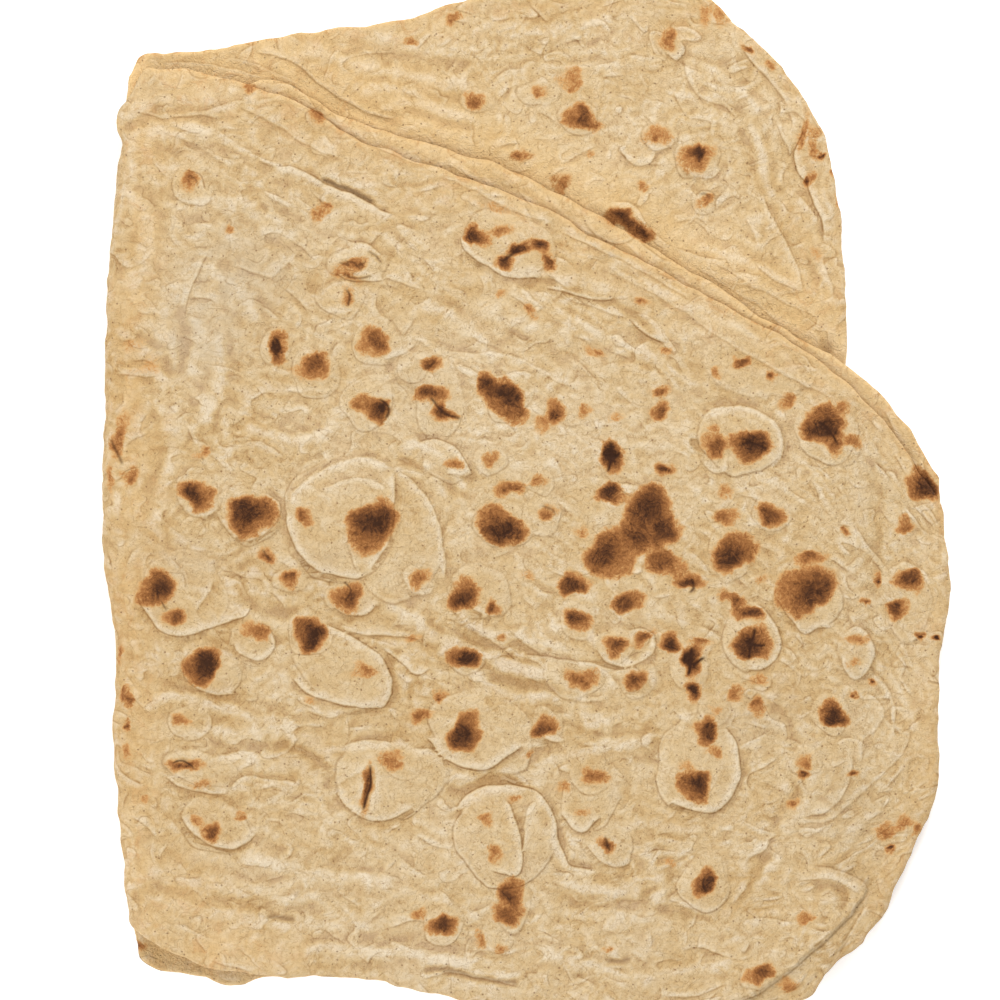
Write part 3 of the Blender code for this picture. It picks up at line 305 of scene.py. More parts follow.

# Thin flaky lips, each with its raised side on the left as one goes along the points:
# points in pixels, lift in mm, darkness of the painted shade line beside it
LIPS = [
    ([(253, 51), (275, 55), (296, 63), (313, 78), (332, 92), (351, 104), (373, 114), (397, 118)], .66, .6),
    ([(289, 166), (264, 159), (239, 145), (214, 128)], .4, .3),
    ([(325, 117), (350, 134), (379, 149), (426, 167)], .35, .4),
    ([(239, 106), (275, 124), (307, 145), (343, 160)], .4, .35),
    ([(150, 130), (176, 137), (205, 150), (236, 172)], .3, .25),
    ([(440, 176), (474, 190), (510, 210), (548, 222)], .35, .4),
    ([(560, 232), (600, 250), (640, 270), (690, 300)], .35, .4),
    ([(600, 268), (650, 292), (700, 322)], .3, .3),
    ([(690, 318), (740, 350), (790, 378), (836, 400)], .3, .35),
    ([(133, 112), (149, 114), (165, 119), (182, 116), (204, 116), (220, 119)], .47, .5),
    ([(168, 190), (182, 201), (201, 205), (217, 198)], .4, .6),
    ([(206, 192), (202, 178), (194, 173), (183, 171)], .3, .95),
    ([(395, 217), (373, 206), (354, 195), (332, 187), (307, 174), (291, 167), (275, 168)], .7, .9),
    ([(184, 312), (190, 291), (199, 270), (208, 252)], .4, .65),
    ([(269, 280), (290, 262), (302, 247)], .4, .3),
    ([(332, 268), (340, 275), (356, 281), (386, 280)], .56, .9),
    ([(385, 258), (375, 250), (362, 243), (345, 242)], .52, .6),
    ([(318, 300), (327, 286), (345, 280), (362, 290)], -.4, .3),
    ([(321, 308), (338, 315), (356, 308)], .4, .5),
    ([(459, 232), (464, 248), (476, 259), (489, 267), (503, 275), (524, 278), (544, 278)], .56, .9),
    ([(544, 286), (565, 292), (587, 298), (606, 300), (617, 296)], .52, .9),
    ([(549, 287), (571, 301), (593, 306), (612, 314), (628, 319)], .4, .5),
    ([(628, 319), (640, 330), (653, 338), (669, 345)], .52, .9),
    ([(380, 277), (396, 281), (410, 286), (424, 290)], .52, .6),
    ([(380, 359), (396, 357), (410, 349), (421, 344)], .4, .5),
    ([(554, 376), (533, 365), (516, 357), (489, 352), (470, 354), (440, 349)], .3, .4),
    ([(473, 477), (467, 464), (454, 447), (434, 439), (415, 444)], .56, .9),
    ([(424, 456), (423, 469), (428, 478)], .4, .5), ([(443, 475), (455, 474), (470, 477)], .3, .5),
    ([(116, 374), (135, 375), (150, 377), (162, 374)], .47, .6),
    ([(122, 447), (135, 439), (149, 433)], .4, .5), ([(130, 361), (146, 360), (157, 367)], .4, .5),
    ([(182, 500), (186, 512), (200, 517), (214, 512), (219, 498)], .4, .5),
    ([(219, 516), (230, 531), (246, 540), (262, 535), (278, 520), (279, 503), (262, 491)], .47, .6),
    ([(138, 590), (141, 602), (152, 619), (165, 633), (182, 636), (204, 630), (223, 623), (244, 616),
      (251, 604)], .61, .9),
    ([(146, 574), (158, 572), (172, 572), (184, 573), (187, 590)], -.3, .5),
    ([(184, 573), (176, 563), (168, 556)], .3, .6), ([(195, 614), (209, 592), (217, 575)], .4, .5),
    ([(247, 597), (242, 584), (228, 577), (217, 575)], .3, .4),
    ([(231, 638), (239, 652), (255, 660), (269, 656), (275, 641), (268, 628), (255, 622)], .47, .7),
    ([(182, 665), (187, 679), (201, 690), (217, 694), (242, 693)], .52, .7),
    ([(244, 668), (236, 656), (223, 649), (204, 649)], .3, .3),
    ([(291, 676), (307, 693), (329, 701), (345, 705), (373, 708), (386, 704), (392, 687), (389, 671),
      (378, 654), (359, 641), (337, 629), (324, 623)], .66, .9),
    ([(337, 629), (356, 633), (378, 635), (400, 636), (424, 641)], .47, .7),
    ([(304, 709), (318, 714), (334, 717), (343, 709)], .4, .5),
    ([(174, 736), (190, 740), (206, 734), (212, 720), (205, 710)], .3, .5),
    ([(163, 774), (176, 784), (195, 790), (217, 794), (231, 792)], .52, .7),
    ([(302, 788), (291, 781), (274, 780), (253, 776), (236, 780), (228, 791)], .52, .6),
    ([(296, 794), (277, 791), (266, 785)], .3, .4),
    ([(179, 813), (193, 832), (209, 843), (228, 849), (244, 844), (258, 832)], .61, .8),
    ([(264, 755), (247, 751), (228, 753), (209, 758)], .35, .35),
    ([(239, 862), (253, 865), (266, 866), (274, 859)], .4, .6),
    ([(332, 788), (345, 804), (362, 817), (384, 820), (400, 815), (416, 804)], .61, .8),
    ([(395, 745), (378, 740), (359, 741), (340, 748)], .61, .7),
    ([(443, 769), (441, 758), (429, 749), (410, 749)], .47, .6),
    ([(426, 734), (440, 753), (456, 764), (478, 769), (497, 764), (514, 751), (524, 742)], .75, 1.0),
    ([(598, 867), (587, 869), (569, 864), (563, 851), (557, 837), (556, 821), (549, 807), (538, 792),
      (522, 786), (503, 785), (484, 787), (467, 795), (454, 810)], .79, .9),
    ([(489, 869), (505, 874), (520, 873), (522, 850), (519, 830), (512, 810), (503, 797)], .47, .9),
    ([(538, 799), (530, 805), (525, 817), (524, 840), (524, 858)], .47, .6),
    ([(495, 778), (516, 783), (533, 788), (545, 797)], .4, .5),
    ([(530, 723), (541, 735), (557, 742), (568, 739)], .47, .6),
    ([(560, 723), (554, 713), (541, 706), (531, 709)], .3, .4),
    ([(560, 810), (571, 826), (583, 831), (595, 822), (604, 815)], .56, .9),
    ([(583, 840), (598, 859), (612, 866), (628, 864), (630, 851)], .4, .6),
    ([(643, 675), (633, 668), (617, 671), (606, 668), (590, 663), (576, 661), (560, 659), (543, 656),
      (522, 654)], .47, .7),
    ([(554, 693), (571, 699), (590, 702), (606, 701)], .3, .4),
    ([(622, 688), (633, 691), (643, 684), (645, 676)], .4, .5),
    ([(595, 646), (606, 661), (620, 667), (636, 664), (653, 652), (655, 636), (642, 629),
      (625, 631)], .47, .7),
    ([(380, 646), (396, 657), (410, 671), (421, 674), (432, 667)], .52, .8),
    ([(443, 616), (462, 624), (484, 638), (508, 649), (524, 663)], .47, .4),
    ([(508, 629), (535, 650), (568, 659)], .4, .4),
    ([(448, 608), (472, 626), (496, 644), (520, 662)], .4, .5),
    ([(445, 581), (446, 563), (443, 541), (437, 517), (427, 498), (412, 480), (395, 469)], .52, .6),
    ([(367, 573), (379, 557), (389, 540), (393, 523), (394, 500), (395, 469)], .47, .7),
    ([(395, 469), (379, 460), (360, 457), (340, 462), (319, 472), (298, 487), (288, 508)], .47, .25),
    ([(288, 508), (288, 530), (298, 551), (316, 569), (340, 576), (358, 579), (367, 573)], .66, .9),
    ([(392, 487), (385, 486), (370, 479), (352, 478), (334, 484), (319, 490)], .35, .4),
    ([(402, 566), (404, 580), (414, 592), (428, 594), (435, 585)], .3, .4),
    ([(329, 603), (345, 614), (365, 614), (380, 600)], .56, .8),
    ([(313, 578), (325, 575), (335, 580)], .3, .5),
    ([(452, 575), (458, 595), (472, 607), (490, 616), (505, 612)], .4, .6),
    ([(478, 527), (490, 538), (508, 543), (520, 534)], .4, .6),
    ([(776, 596), (786, 612), (797, 627), (806, 633), (819, 628), (836, 626)], .56, .8),
    ([(839, 650), (845, 669), (855, 680), (866, 672), (874, 655), (870, 636), (857, 626),
      (843, 633)], .47, .6),
    ([(743, 669), (759, 669), (773, 661), (781, 647), (778, 631), (767, 614), (754, 601)], .52, .8),
    ([(751, 686), (762, 691), (771, 684), (769, 674)], .3, .5),
    ([(666, 800), (680, 806), (699, 811), (715, 811), (729, 800), (740, 778), (739, 762), (737, 745),
      (724, 724)], .61, .9),
    ([(799, 817), (822, 813), (836, 804), (847, 788), (852, 772), (852, 751)], .30, .55),
    ([(740, 868), (752, 856), (764, 850), (772, 838)], .4, .5),
    ([(866, 902), (855, 924), (840, 948)], .4, .5),
    ([(803, 840), (824, 827), (841, 811), (860, 795), (874, 781), (893, 765), (906, 746),
      (912, 724)], .16, .36),
    ([(861, 757), (863, 742), (873, 731), (883, 717), (880, 703), (864, 692)], .22, .35),
    ([(797, 825), (808, 822), (824, 822), (841, 814)], .2, .4),
    ([(893, 729), (895, 707), (887, 686), (874, 669)], .3, .35),
    ([(931, 584), (923, 571), (906, 562), (893, 567), (887, 576)], .3, .3),
    ([(768, 470), (779, 461), (783, 440), (774, 422), (753, 409), (729, 406), (711, 410),
      (705, 419)], .56, .5),
    ([(699, 458), (711, 471), (726, 470), (724, 457)], .4, .6),
    ([(660, 492), (629, 484), (605, 484)], .4, .4),
    ([(803, 123), (803, 136), (795, 153), (800, 174), (808, 183), (814, 202), (822, 218),
      (826, 237)], .66, 1.0),
    ([(804, 291), (802, 279), (793, 255), (781, 231), (769, 210), (762, 192)], .4, .55),
    ([(824, 226), (814, 212), (804, 200), (795, 191)], .4, .5),
    ([(776, 121), (781, 133), (788, 145), (790, 160)], .35, .55),
    ([(754, 261), (772, 278), (790, 286), (803, 292)], .35, .6),
    ([(697, 267), (724, 285), (758, 305), (784, 327)], .3, .5),
    ([(730, 282), (760, 289), (781, 300), (799, 309), (806, 318)], .3, .5),
    ([(712, 262), (734, 273), (757, 287)], .3, .45),
    ([(835, 300), (832, 284), (826, 268), (823, 252)], .3, .45),
    ([(744, 214), (756, 236), (762, 256)], .25, .3), ([(728, 150), (728, 168), (724, 184)], .25, .35),
    ([(662, 90), (684, 98), (702, 102)], .25, .3), ([(664, 49), (677, 59), (685, 49), (680, 38)], .52, .7),
    ([(639, 136), (653, 149), (669, 147), (680, 134)], .47, .5),
    ([(680, 161), (691, 174), (713, 177), (724, 164)], .47, .5),
    ([(717, 204), (713, 194), (702, 191), (695, 199)], .47, .7),
    ([(726, 191), (718, 199), (716, 211)], .47, .8),
    ([(685, 56), (688, 76), (695, 90), (706, 99), (724, 105), (740, 119)], .35, .4),
    ([(740, 45), (755, 64), (769, 78), (781, 93), (790, 108)], .45, .6),
    ([(737, 43), (748, 47), (757, 57)], .4, .8), ([(780, 98), (781, 108), (780, 117)], .3, .7),
    ([(788, 108), (793, 120), (790, 132)], .3, .5),
    ([(675, 248), (653, 232), (642, 215), (631, 203), (609, 202)], .47, .5),
    ([(729, 262), (702, 256), (675, 248)], .47, .6),
    ([(265, 77), (232, 68), (195, 62), (160, 62)], .3, .55),
    ([(300, 84), (272, 70), (245, 60), (222, 57)], .25, .4),
    ([(420, 981), (449, 972), (480, 978), (520, 985)], .56, .5),
    ([(800, 880), (830, 878), (850, 888), (862, 897)], .47, .4),
]

# The turned-over corner at the lower right, raised on the left along the points: points in pixels, rise in mm
STEPS = [
    ([(700, 1004), (750, 997), (816, 949), (864, 896), (849, 874), (800, 864)], 2.0),
    ([(829, 970), (843, 946), (858, 916)], 1.0),
]

# Where the dough is greyer: x, y, width, height in pixels, strength from 0 to 1
ASHEN = [
    (235, 275, 130, 120, .9), (205, 345, 70, 70, .6), (160, 345, 36, 30, .5), (190, 560, 90, 40, .5),
    (748, 722, 90, 40, .6), (842, 806, 70, 80, .4), (320, 560, 60, 30, .4), (420, 395, 70, 70, .35),
]

# Where its tone is paler or, below 0, more tan, written the same way
TONES = [
    (500, 430, 460, 320, .9), (440, 890, 380, 180, .9), (640, 110, 340, 210, .6), (122, 450, 60, 320, -.8),
    (180, 590, 150, 170, -.6), (880, 560, 150, 420, .45), (190, 150, 170, 260, .4), (820, 220, 80, 160, .4),
    (470, 655, 330, 110, -.35), (190, 740, 160, 260, -.35),
]

# Where it is golden, written the same way
GOLDEN = [
    (215, 72, 320, 90, .9), (150, 150, 80, 150, .45), (128, 440, 66, 420, .8), (345, 122, 150, 56, .55),
    (480, 190, 200, 66, .55), (620, 245, 200, 66, .5), (745, 308, 200, 66, .5), (862, 385, 140, 90, .45),
    (812, 240, 60, 200, .35), (205, 958, 200, 60, .9), (180, 900, 110, 90, .5), (884, 930, 90, 120, .35),
    (680, 20, 120, 60, .5),
]

# In pixels
STEP_REACH = 44  # how far the raised side of a step runs back
STEP_EDGE = 2.8  # width of its slope
REACH = 4.5  # beside an outline, a crack or a flaky edge, where it is drawn
OUTSIDE = -30.0  # depth in a blister of the places that are far from all of them
SHEET_SHIFT = 1700  # between the patterns of two plies

# The noises that make drawn shapes uneven: size and reach in pixels, seed
BLISTER_NOISES = ((28, 3.2, 11), (9, 0.8, 13))
SPOT_NOISES = ((13, 3.6, 31), (5, 1.8, 33))
CRACK_NOISE = (12, 1.2, 41)
WAVE_NOISE = (30, 4, 51)
LIP_NOISE = (15, 1.3, 43)
STEP_NOISE = (20, 1.5, 61)
LOOSE_NOISE = (22, 8, 77)
SIDE_NOISE = (60, 14)  # its seeds stand where it is used

# Wrinkles that run beside the sides of a ply: length and width in pixels, seed
LONG_FOLDS = (95, 26, 73)
SHORT_FOLDS = (38, 13, 75)
FLAKY_FOLDS = (80, 30, 107)

# Parts of the UV map's width and height
STRIP = 0.07  # height kept for the side that hardly shows
UV_EDGE, UV_SPAN = 0.004, 0.992  # margin round the map, and what is left between the margins
STRIP_EDGE, STRIP_SPAN = 0.002, STRIP - 0.006  # the same for the strip's height


def placed(points):
    """Points of the photograph as metres on the bread."""
    pixels = np.array(points, float)
    return np.column_stack(((pixels[:, 0] - PHOTO_CENTRE[0]) * PX, (PHOTO_CENTRE[1] - pixels[:, 1]) * PX))


def in_pixels(points):
    """Places on the bread as pixels of the photograph."""
    return np.stack((points[..., 0] / PX + PHOTO_CENTRE[0], PHOTO_CENTRE[1] - points[..., 1] / PX), axis=-1)


def bell(t):
    """1 at 0, and soon 0 to both sides."""
    return np.exp(-(t**2))


def smooth(t):
    """A soft step from 0 to 1 as t goes from 0 to 1."""
    t = np.clip(t, 0, 1)
    return t * t * (3 - 2 * t)


def spline(points, samples_per_span=16):
    """A smooth curve through the points, as many short chords."""
    p = placed(points)
    p = np.vstack((2 * p[0] - p[1], p, 2 * p[-1] - p[-2]))
    t = np.linspace(0, 1, samples_per_span, endpoint=False)[:, None]
    spans = [
        0.5 * (2 * b + (c - a) * t + (2 * a - 5 * b + 4 * c - d) * t**2 + (3 * b - a - 3 * c + d) * t**3)
        for a, b, c, d in zip(p, p[1:], p[2:], p[3:])
    ]
    return np.vstack((*spans, p[-2:-1]))


def along(curve, shares):
    """The points that lie at these shares of the curve's length."""
    steps = np.linalg.norm(np.diff(curve, axis=0), axis=1)
    run = np.concatenate(([0], np.cumsum(steps))) / steps.sum()
    return np.column_stack([np.interp(shares, run, curve[:, k]) for k in (0, 1)])


def inset(curve, distance):
    """The curve moved to its right-hand side, looking along it."""
    tangent = np.gradient(curve, axis=0)
    tangent /= np.linalg.norm(tangent, axis=1)[:, None] + 1e-12
    return curve + distance * np.column_stack((tangent[:, 1], -tangent[:, 0]))


def edge(start, curve, end, trim=10):
    """A curve without its ends, run to two corners instead."""
    return np.vstack((start, curve[trim:-trim], end))


def patch(left, right, bottom, top, u, v):
    """A grid of points that fills the four edges, as a Coons patch."""
    west, east = along(left, v)[None], along(right, v)[None]
    south, north = along(bottom, u)[:, None], along(top, u)[:, None]
    u, v = u[:, None, None], v[None, :, None]
    corners = (
        (1 - u) * (1 - v) * south[0] + u * (1 - v) * south[-1] + (1 - u) * v * north[0] + u * v * north[-1]
    )
    return (1 - u) * west + u * east + (1 - v) * south + v * north - corners


def distance_to(line, points):
    """Distance to a chain of chords, its side (1 left, -1 right) and the length run to the nearest point."""
    best, run = np.full(len(points), np.inf), np.zeros(len(points))
    side = np.ones(len(points))
    start = 0.0
    for a, b in zip(line[:-1], line[1:]):
        chord = b - a
        length = np.hypot(*chord)
        offset = points - a
        share = np.clip(offset @ chord / max(length**2, 1e-18), 0, 1)
        away = offset - share[:, None] * chord
        gap = np.hypot(away[:, 0], away[:, 1])
        nearer = gap < best - 1e-12
        best[nearer] = gap[nearer]
        run[nearer] = start + share[nearer] * length
        side[nearer] = np.sign(chord[0] * offset[nearer, 1] - chord[1] * offset[nearer, 0])
        start += length
    return best, side, run


def beside(points, px, margin, samples=6):
    """The places near a drawn line: their numbers, signed gaps and distances from its ends, in pixels."""
    middle = np.mean(points, axis=0)
    here = near(px, *middle, np.ptp(points, axis=0).max() / 2 + margin)
    curve = spline(points, samples)
    gap, side, run = distance_to(curve, placed(px[here]))
    whole = np.linalg.norm(np.diff(curve, axis=0), axis=1).sum()
    return here, gap * side / PX, np.minimum(run, whole - run) / PX


def round_edge(depth):
    """Height of a ply's rounded edge, from 0 at the rim to 1 where the ply is full."""
    return np.sqrt(1 - (1 - np.clip(depth / LIP, 0, 1)) ** 2)


def depth_inside(outline, points):
    """How far each point is inside a closed outline, below 0 outside it."""
    loop = np.vstack((outline, outline[:1]))
    gap, _, _ = distance_to(loop, points)
    inside = np.zeros(len(points), bool)
    for (ax, ay), (bx, by) in zip(loop[:-1], loop[1:]):
        crosses = (ay > points[:, 1]) != (by > points[:, 1])
        if crosses.any():
            at = ax + (points[:, 1] - ay) * (bx - ax) / (by - ay if by != ay else 1e-18)
            inside ^= crosses & (points[:, 0] < at)
    return np.where(inside, gap, -gap)


def perlin(x, y, seed):
    """Smooth gradient noise from about -1 to 1, with features one unit wide."""
    turn = np.random.default_rng(seed).uniform(0, 2 * np.pi, (128, 128))
    i, j = np.floor(x).astype(int), np.floor(y).astype(int)
    fx, fy = x - i, y - j
    s, t = (f**3 * (f * (f * 6 - 15) + 10) for f in (fx, fy))

    def corner(di, dj):
        angle = turn[(i + di) % 128, (j + dj) % 128]
        return np.cos(angle) * (fx - di) + np.sin(angle) * (fy - dj)

    low_row = corner(0, 0) * (1 - s) + corner(1, 0) * s
    high_row = corner(0, 1) * (1 - s) + corner(1, 1) * s
    return 1.5 * (low_row * (1 - t) + high_row * t)


def mottled(places, width, height, seed):
    """Smooth noise with features of this size, in the units of the places."""
    return perlin(places[..., 0] / width, places[..., 1] / height, seed)


def pushes(places, size, seed):
    """Smooth noise in both directions."""
    return np.stack((mottled(places, size, size, seed), mottled(places, size, size, seed + 1)), axis=-1)


def warped(px, *noises):
    """Pixels pushed about by noise, so that what is drawn with them gets an organic outline."""
    for size, reach, seed in noises:
        px = px + reach * pushes(px, size, seed)
    return px


def turned(px, x, y, width, height, turn):
    """Radius and bearing of each pixel round an ellipse, with radius 1 on its outline."""
    angle = np.radians(turn)
    dx, dy = px[:, 0] - x, px[:, 1] - y
    across = dx * np.cos(angle) + dy * np.sin(angle)
    down = dy * np.cos(angle) - dx * np.sin(angle)
    return np.hypot(across / (width / 2), down / (height / 2)), np.arctan2(down, across)


def clouds(px, places):
    """Soft patches in pixels, each an oval with its strength, added up."""
    total = np.zeros(px.shape[:-1])
    for x, y, width, tall, strength in places:
        across, down = 2 * (px[..., 0] - x) / width, 2 * (px[..., 1] - y) / tall
        total += strength * np.exp(-(across**2) - down**2)
    return total


def near(px, x, y, reach):
    """The numbers of the pixels in the square round a place."""
    return np.flatnonzero((np.abs(px[:, 0] - x) < reach) & (np.abs(px[:, 1] - y) < reach))


def draw(gap, strength, here, away, drawn):
    """Draws a line into the fields of gaps and strengths, where it is stronger than those drawn before."""
    gap[here] = np.where(drawn > strength[here], away, gap[here])
    strength[here] = np.maximum(strength[here], drawn)


def blisters(px):
    """Rise of the blisters in mm, how far inside one each place is, and the outline's gap and strength."""
    rise = np.zeros(len(px))
    inside = np.full(len(px), OUTSIDE)
    gap, strength = np.full(len(px), -REACH), np.zeros(len(px))
    shaped = warped(px, *BLISTER_NOISES)
    broken = smooth(0.5 + 1.2 * mottled(px, 27, 25, 15))
    for number, (left, right, top, bottom, turn, height) in enumerate(BLISTERS):
        x, y, wide, tall = (left + right) / 2, (top + bottom) / 2, right - left, bottom - top
        here = near(px, x, y, 0.5 * max(wide, tall) + 30)
        radius, bearing = turned(shaped[here], x, y, wide, tall, turn)
        radius *= 1 + 0.05 * np.sin(2 * bearing + number) + 0.04 * np.sin(3 * bearing + 2 * number)
        radius *= 1 + 0.025 * np.sin(5 * bearing + 3 * number)
        inward = (1 - radius) * min(wide, tall) / 2
        crown = np.clip(1 - radius**2, 0, 1)
        rim = smooth((inward + 1.6) / 4.2)
        shape = height * rim * (0.15 + 0.58 * crown) + 0.08 * bell((inward - 1.8) / 1.8)
        moat = -0.10 * bell((inward + 2.5) / 2.4) * min(height, 1.3)
        around = rise[here] + moat * (rise[here] < 0.1)
        rise[here] = np.where(rim > 0.04, np.maximum(rise[here], shape), around)
        inside[here] = np.maximum(inside[here], inward)
        # The outline's painted shade and highlight are drawn stronger on the side turned away from the light
        shade = 0.5 + 0.5 * np.sin(np.radians(turn) + bearing - 0.35)
        drawn = (0.35 + 0.65 * shade) * bell(inward / REACH) * min(1, 0.35 + 0.40 * height)
        drawn *= 0.42 + 0.58 * np.maximum(broken[here], shade * min(1, height / 2.2))
        draw(gap, strength, here, inward, drawn)
    return rise, inside, gap, strength


def toasted(px):
    """How dark the toasted spots are, from 0 to about 1.1."""
    dark = np.zeros(len(px))
    shaped = warped(px, *SPOT_NOISES)
    for x, y, width, height, turn, strength in SPOTS:
        here = near(px, x, y, 1.1 * max(width, height) + 8)
        radius, bearing = turned(shaped[here], x, y, 1.08 * width, 1.08 * height, turn)
        radius *= 1 + 0.13 * np.sin(2 * bearing + x) + 0.10 * np.sin(3 * bearing + y)
        off_centre = np.maximum(0, radius + 0.30 * np.cos(bearing - 0.7 * x))
        inward = (1 - radius) * 0.54 * min(width, height)
        soft = 5 + 0.09 * min(width, height)
        core = 0.42 * smooth((inward + 3) / soft) + 0.46 * smooth((1.0 - off_centre) / 0.95)
        spot = strength * (core + 0.12 * smooth((inward + 6) / soft))
        dark[here] = np.maximum(dark[here], spot) + 0.15 * np.minimum(dark[here], spot)
    return dark


def cracks(px):
    """Signed gap in widths to the nearest crack, its strength, and the depth of all cracks in mm."""
    gap, strength, depth = np.full(len(px), REACH), np.zeros(len(px)), np.zeros(len(px))
    shaped = warped(px, CRACK_NOISE)
    for points, width, dark, deep in CRACKS:
        here, away, ends = beside(points, shaped, 3 * width + 10)
        drawn = dark * smooth(ends / 5) * bell(away / (1.5 * width + 2))
        draw(gap, strength, here, away / width, drawn)
        depth[here] = np.maximum(depth[here], deep * bell(away / (width + 1)) * smooth(ends / 8))
    return gap, strength, depth


def waves(px):
    """Height in mm of the soft creases and ridges that were seen one by one."""
    rise = np.zeros(len(px))
    shaped = warped(px, WAVE_NOISE)
    for points, width, height in WAVES:
        here, away, ends = beside(points, shaped, 3 * width)
        across = np.where(away > 0, 1.4, 0.6) * away / width
        profile = bell(across) - 0.35 * bell((np.abs(away) - 1.7 * width) / width)
        rise[here] += height * profile * smooth(ends / 14)
    return rise


def lips(px):
    """Height in mm of the thin flaky lips, the signed gap to the nearest in pixels, and its strength."""
    rise = np.zeros(len(px))
    gap, strength = np.full(len(px), -REACH), np.zeros(len(px))
    shaped = warped(px, LIP_NOISE)
    for points, lift, dark in LIPS:
        here, away, ends = beside(points, shaped, 30)
        fade = smooth(ends / 12)
        face = smooth((away + 2.0) / 4.0)
        rise[here] += lift * fade * (0.66 * face * np.exp(-np.maximum(away, 0) / 10)
                                     - 0.36 * (1 - face) * np.exp(-np.maximum(-away, 0) / 5))
        draw(gap, strength, here, away, dark * smooth(ends / 9) * bell(away / REACH))
    return rise, gap, strength


def steps(px):
    """Height in mm of the turned-over corner, and its edge's gap in pixels and strength."""
    rise = np.zeros(len(px))
    gap, strength = np.full(len(px), -REACH), np.zeros(len(px))
    shaped = warped(px, STEP_NOISE)
    for points, height in STEPS:
        here, away, ends = beside(points, shaped, 3 * STEP_REACH, 8)
        fade = bell(away / STEP_REACH) * smooth(ends / 34)
        rise[here] += np.where(away > 0, height * fade * smooth(away / STEP_EDGE), 0)
        drawn = bell(away / REACH) * smooth(ends / 24) * min(0.5, height / 2)
        draw(gap, strength, here, away, drawn)
    return rise, gap, strength


def stronger(first, second):
    """Of two drawn edges, each as signed gap and strength, the stronger one at each place."""
    pick = second[1] > first[1]
    return np.where(pick, second[0], first[0]), np.maximum(first[1], second[1])


def slope_of(field, px):
    """How fast a field on a grid changes per pixel."""
    by_column, by_row = np.gradient(field)
    x_column, x_row = np.gradient(px[..., 0])
    y_column, y_row = np.gradient(px[..., 1])
    area = x_column * y_row - x_row * y_column
    area = np.where(np.abs(area) < 1e-6, 1e-6, area)
    down = (by_column * y_row - by_row * y_column) / area
    across = (by_row * x_column - by_column * x_row) / area
    return np.hypot(down, across)


def flake(field, level, px, mask, lip, back):
    """A flaky edge along a line of equal noise: its height in mm, its gap in pixels and its strength."""
    gap = np.clip((field - level) / np.maximum(slope_of(field, px), 0.012), -3 * REACH, 3 * REACH)
    side = smooth((gap + 2.0) / 4.0)
    height = lip * side * np.exp(-np.maximum(gap, 0) / back)
    height -= 0.4 * lip * (1 - side) * np.exp(-np.maximum(-gap, 0) / (0.5 * back))
    return mask * height, gap, mask * bell(gap / REACH)


def crumple(px, flow):
    """The wrinkles that cover all of the dough. The long ones run beside the nearest side of the ply."""
    shape = px.shape[:2]
    flat = px.reshape(-1, 2)
    left, right, bottom, top = flow.reshape(-1, 4).T

    def bent(run, across, seed):
        return warped(np.column_stack((run, across)), (*SIDE_NOISE, seed))

    to_bottom = smooth(0.5 + (top - bottom) / 260)
    by_top, by_bottom = bent(left, top, 71), bent(left, bottom, 72)

    def along_sides(long_side, short_side, seed):
        upper = mottled(by_top, long_side, short_side, seed)
        lower = mottled(by_bottom, long_side, short_side, seed + 1)
        return upper * (1 - to_bottom) + lower * to_bottom

    loose = warped(flat, LOOSE_NOISE)
    long_folds = along_sides(*LONG_FOLDS)
    short_folds = along_sides(*SHORT_FOLDS)
    puffs = mottled(loose, 24, 19, 79)
    grains = mottled(loose, 10, 8.5, 83)
    patchy = smooth(0.5 + 0.9 * mottled(flat, 60, 60, 85))
    calm = smooth(0.5 + 0.9 * mottled(flat, 90, 75, 87))
    by_side = np.maximum(smooth(1 - left / 60), 0.8 * smooth(1 - right / 46))
    from_side = np.minimum(left, right) / 12 + 0.6 * mottled(flat, 34, 34, 95)
    upright = perlin(from_side, flat[:, 1] / 42, 93)

    height = 0.42 * mottled(flat, 110, 100, 89) + 0.25 * mottled(flat, 52, 46, 91)
    height += 0.22 * np.abs(long_folds) + (0.08 + 0.15 * calm) * np.abs(short_folds)
    height += (0.10 + 0.24 * patchy) * np.abs(puffs) + (0.12 + 0.13 * calm) * np.abs(grains)
    height += 0.40 * by_side * np.abs(upright) - 0.35
    height = height.reshape(shape)

    rough = smooth(0.22 + 1.5 * mottled(px, 26, 24, 103))
    loosened = smooth(0.20 + 1.6 * mottled(px, 19, 21, 105))
    ridges = along_sides(*FLAKY_FOLDS).reshape(shape)
    folds, fold_gap, fold_strength = flake(ridges, 0.02, px, rough, 0.26, 12)
    chips = mottled(loose, 25, 20, 109).reshape(shape)
    flakes, flake_gap, flake_strength = flake(chips, 0.10, px, loosened, 0.16, 7)
    return height + folds + flakes, (fold_gap, fold_strength), (flake_gap, flake_strength)


def hollows(height):
    """0 in hollows and 1 on ridges, at two widths, from the wrinkles' height in mm: where the dough material
    paints shade and highlight.
    """
    middle, wide = blurred(height, 5), blurred(height, 24)
    return np.clip(0.5 + (height - middle) / 0.34 + (middle - wide) / 2.4, 0, 1)


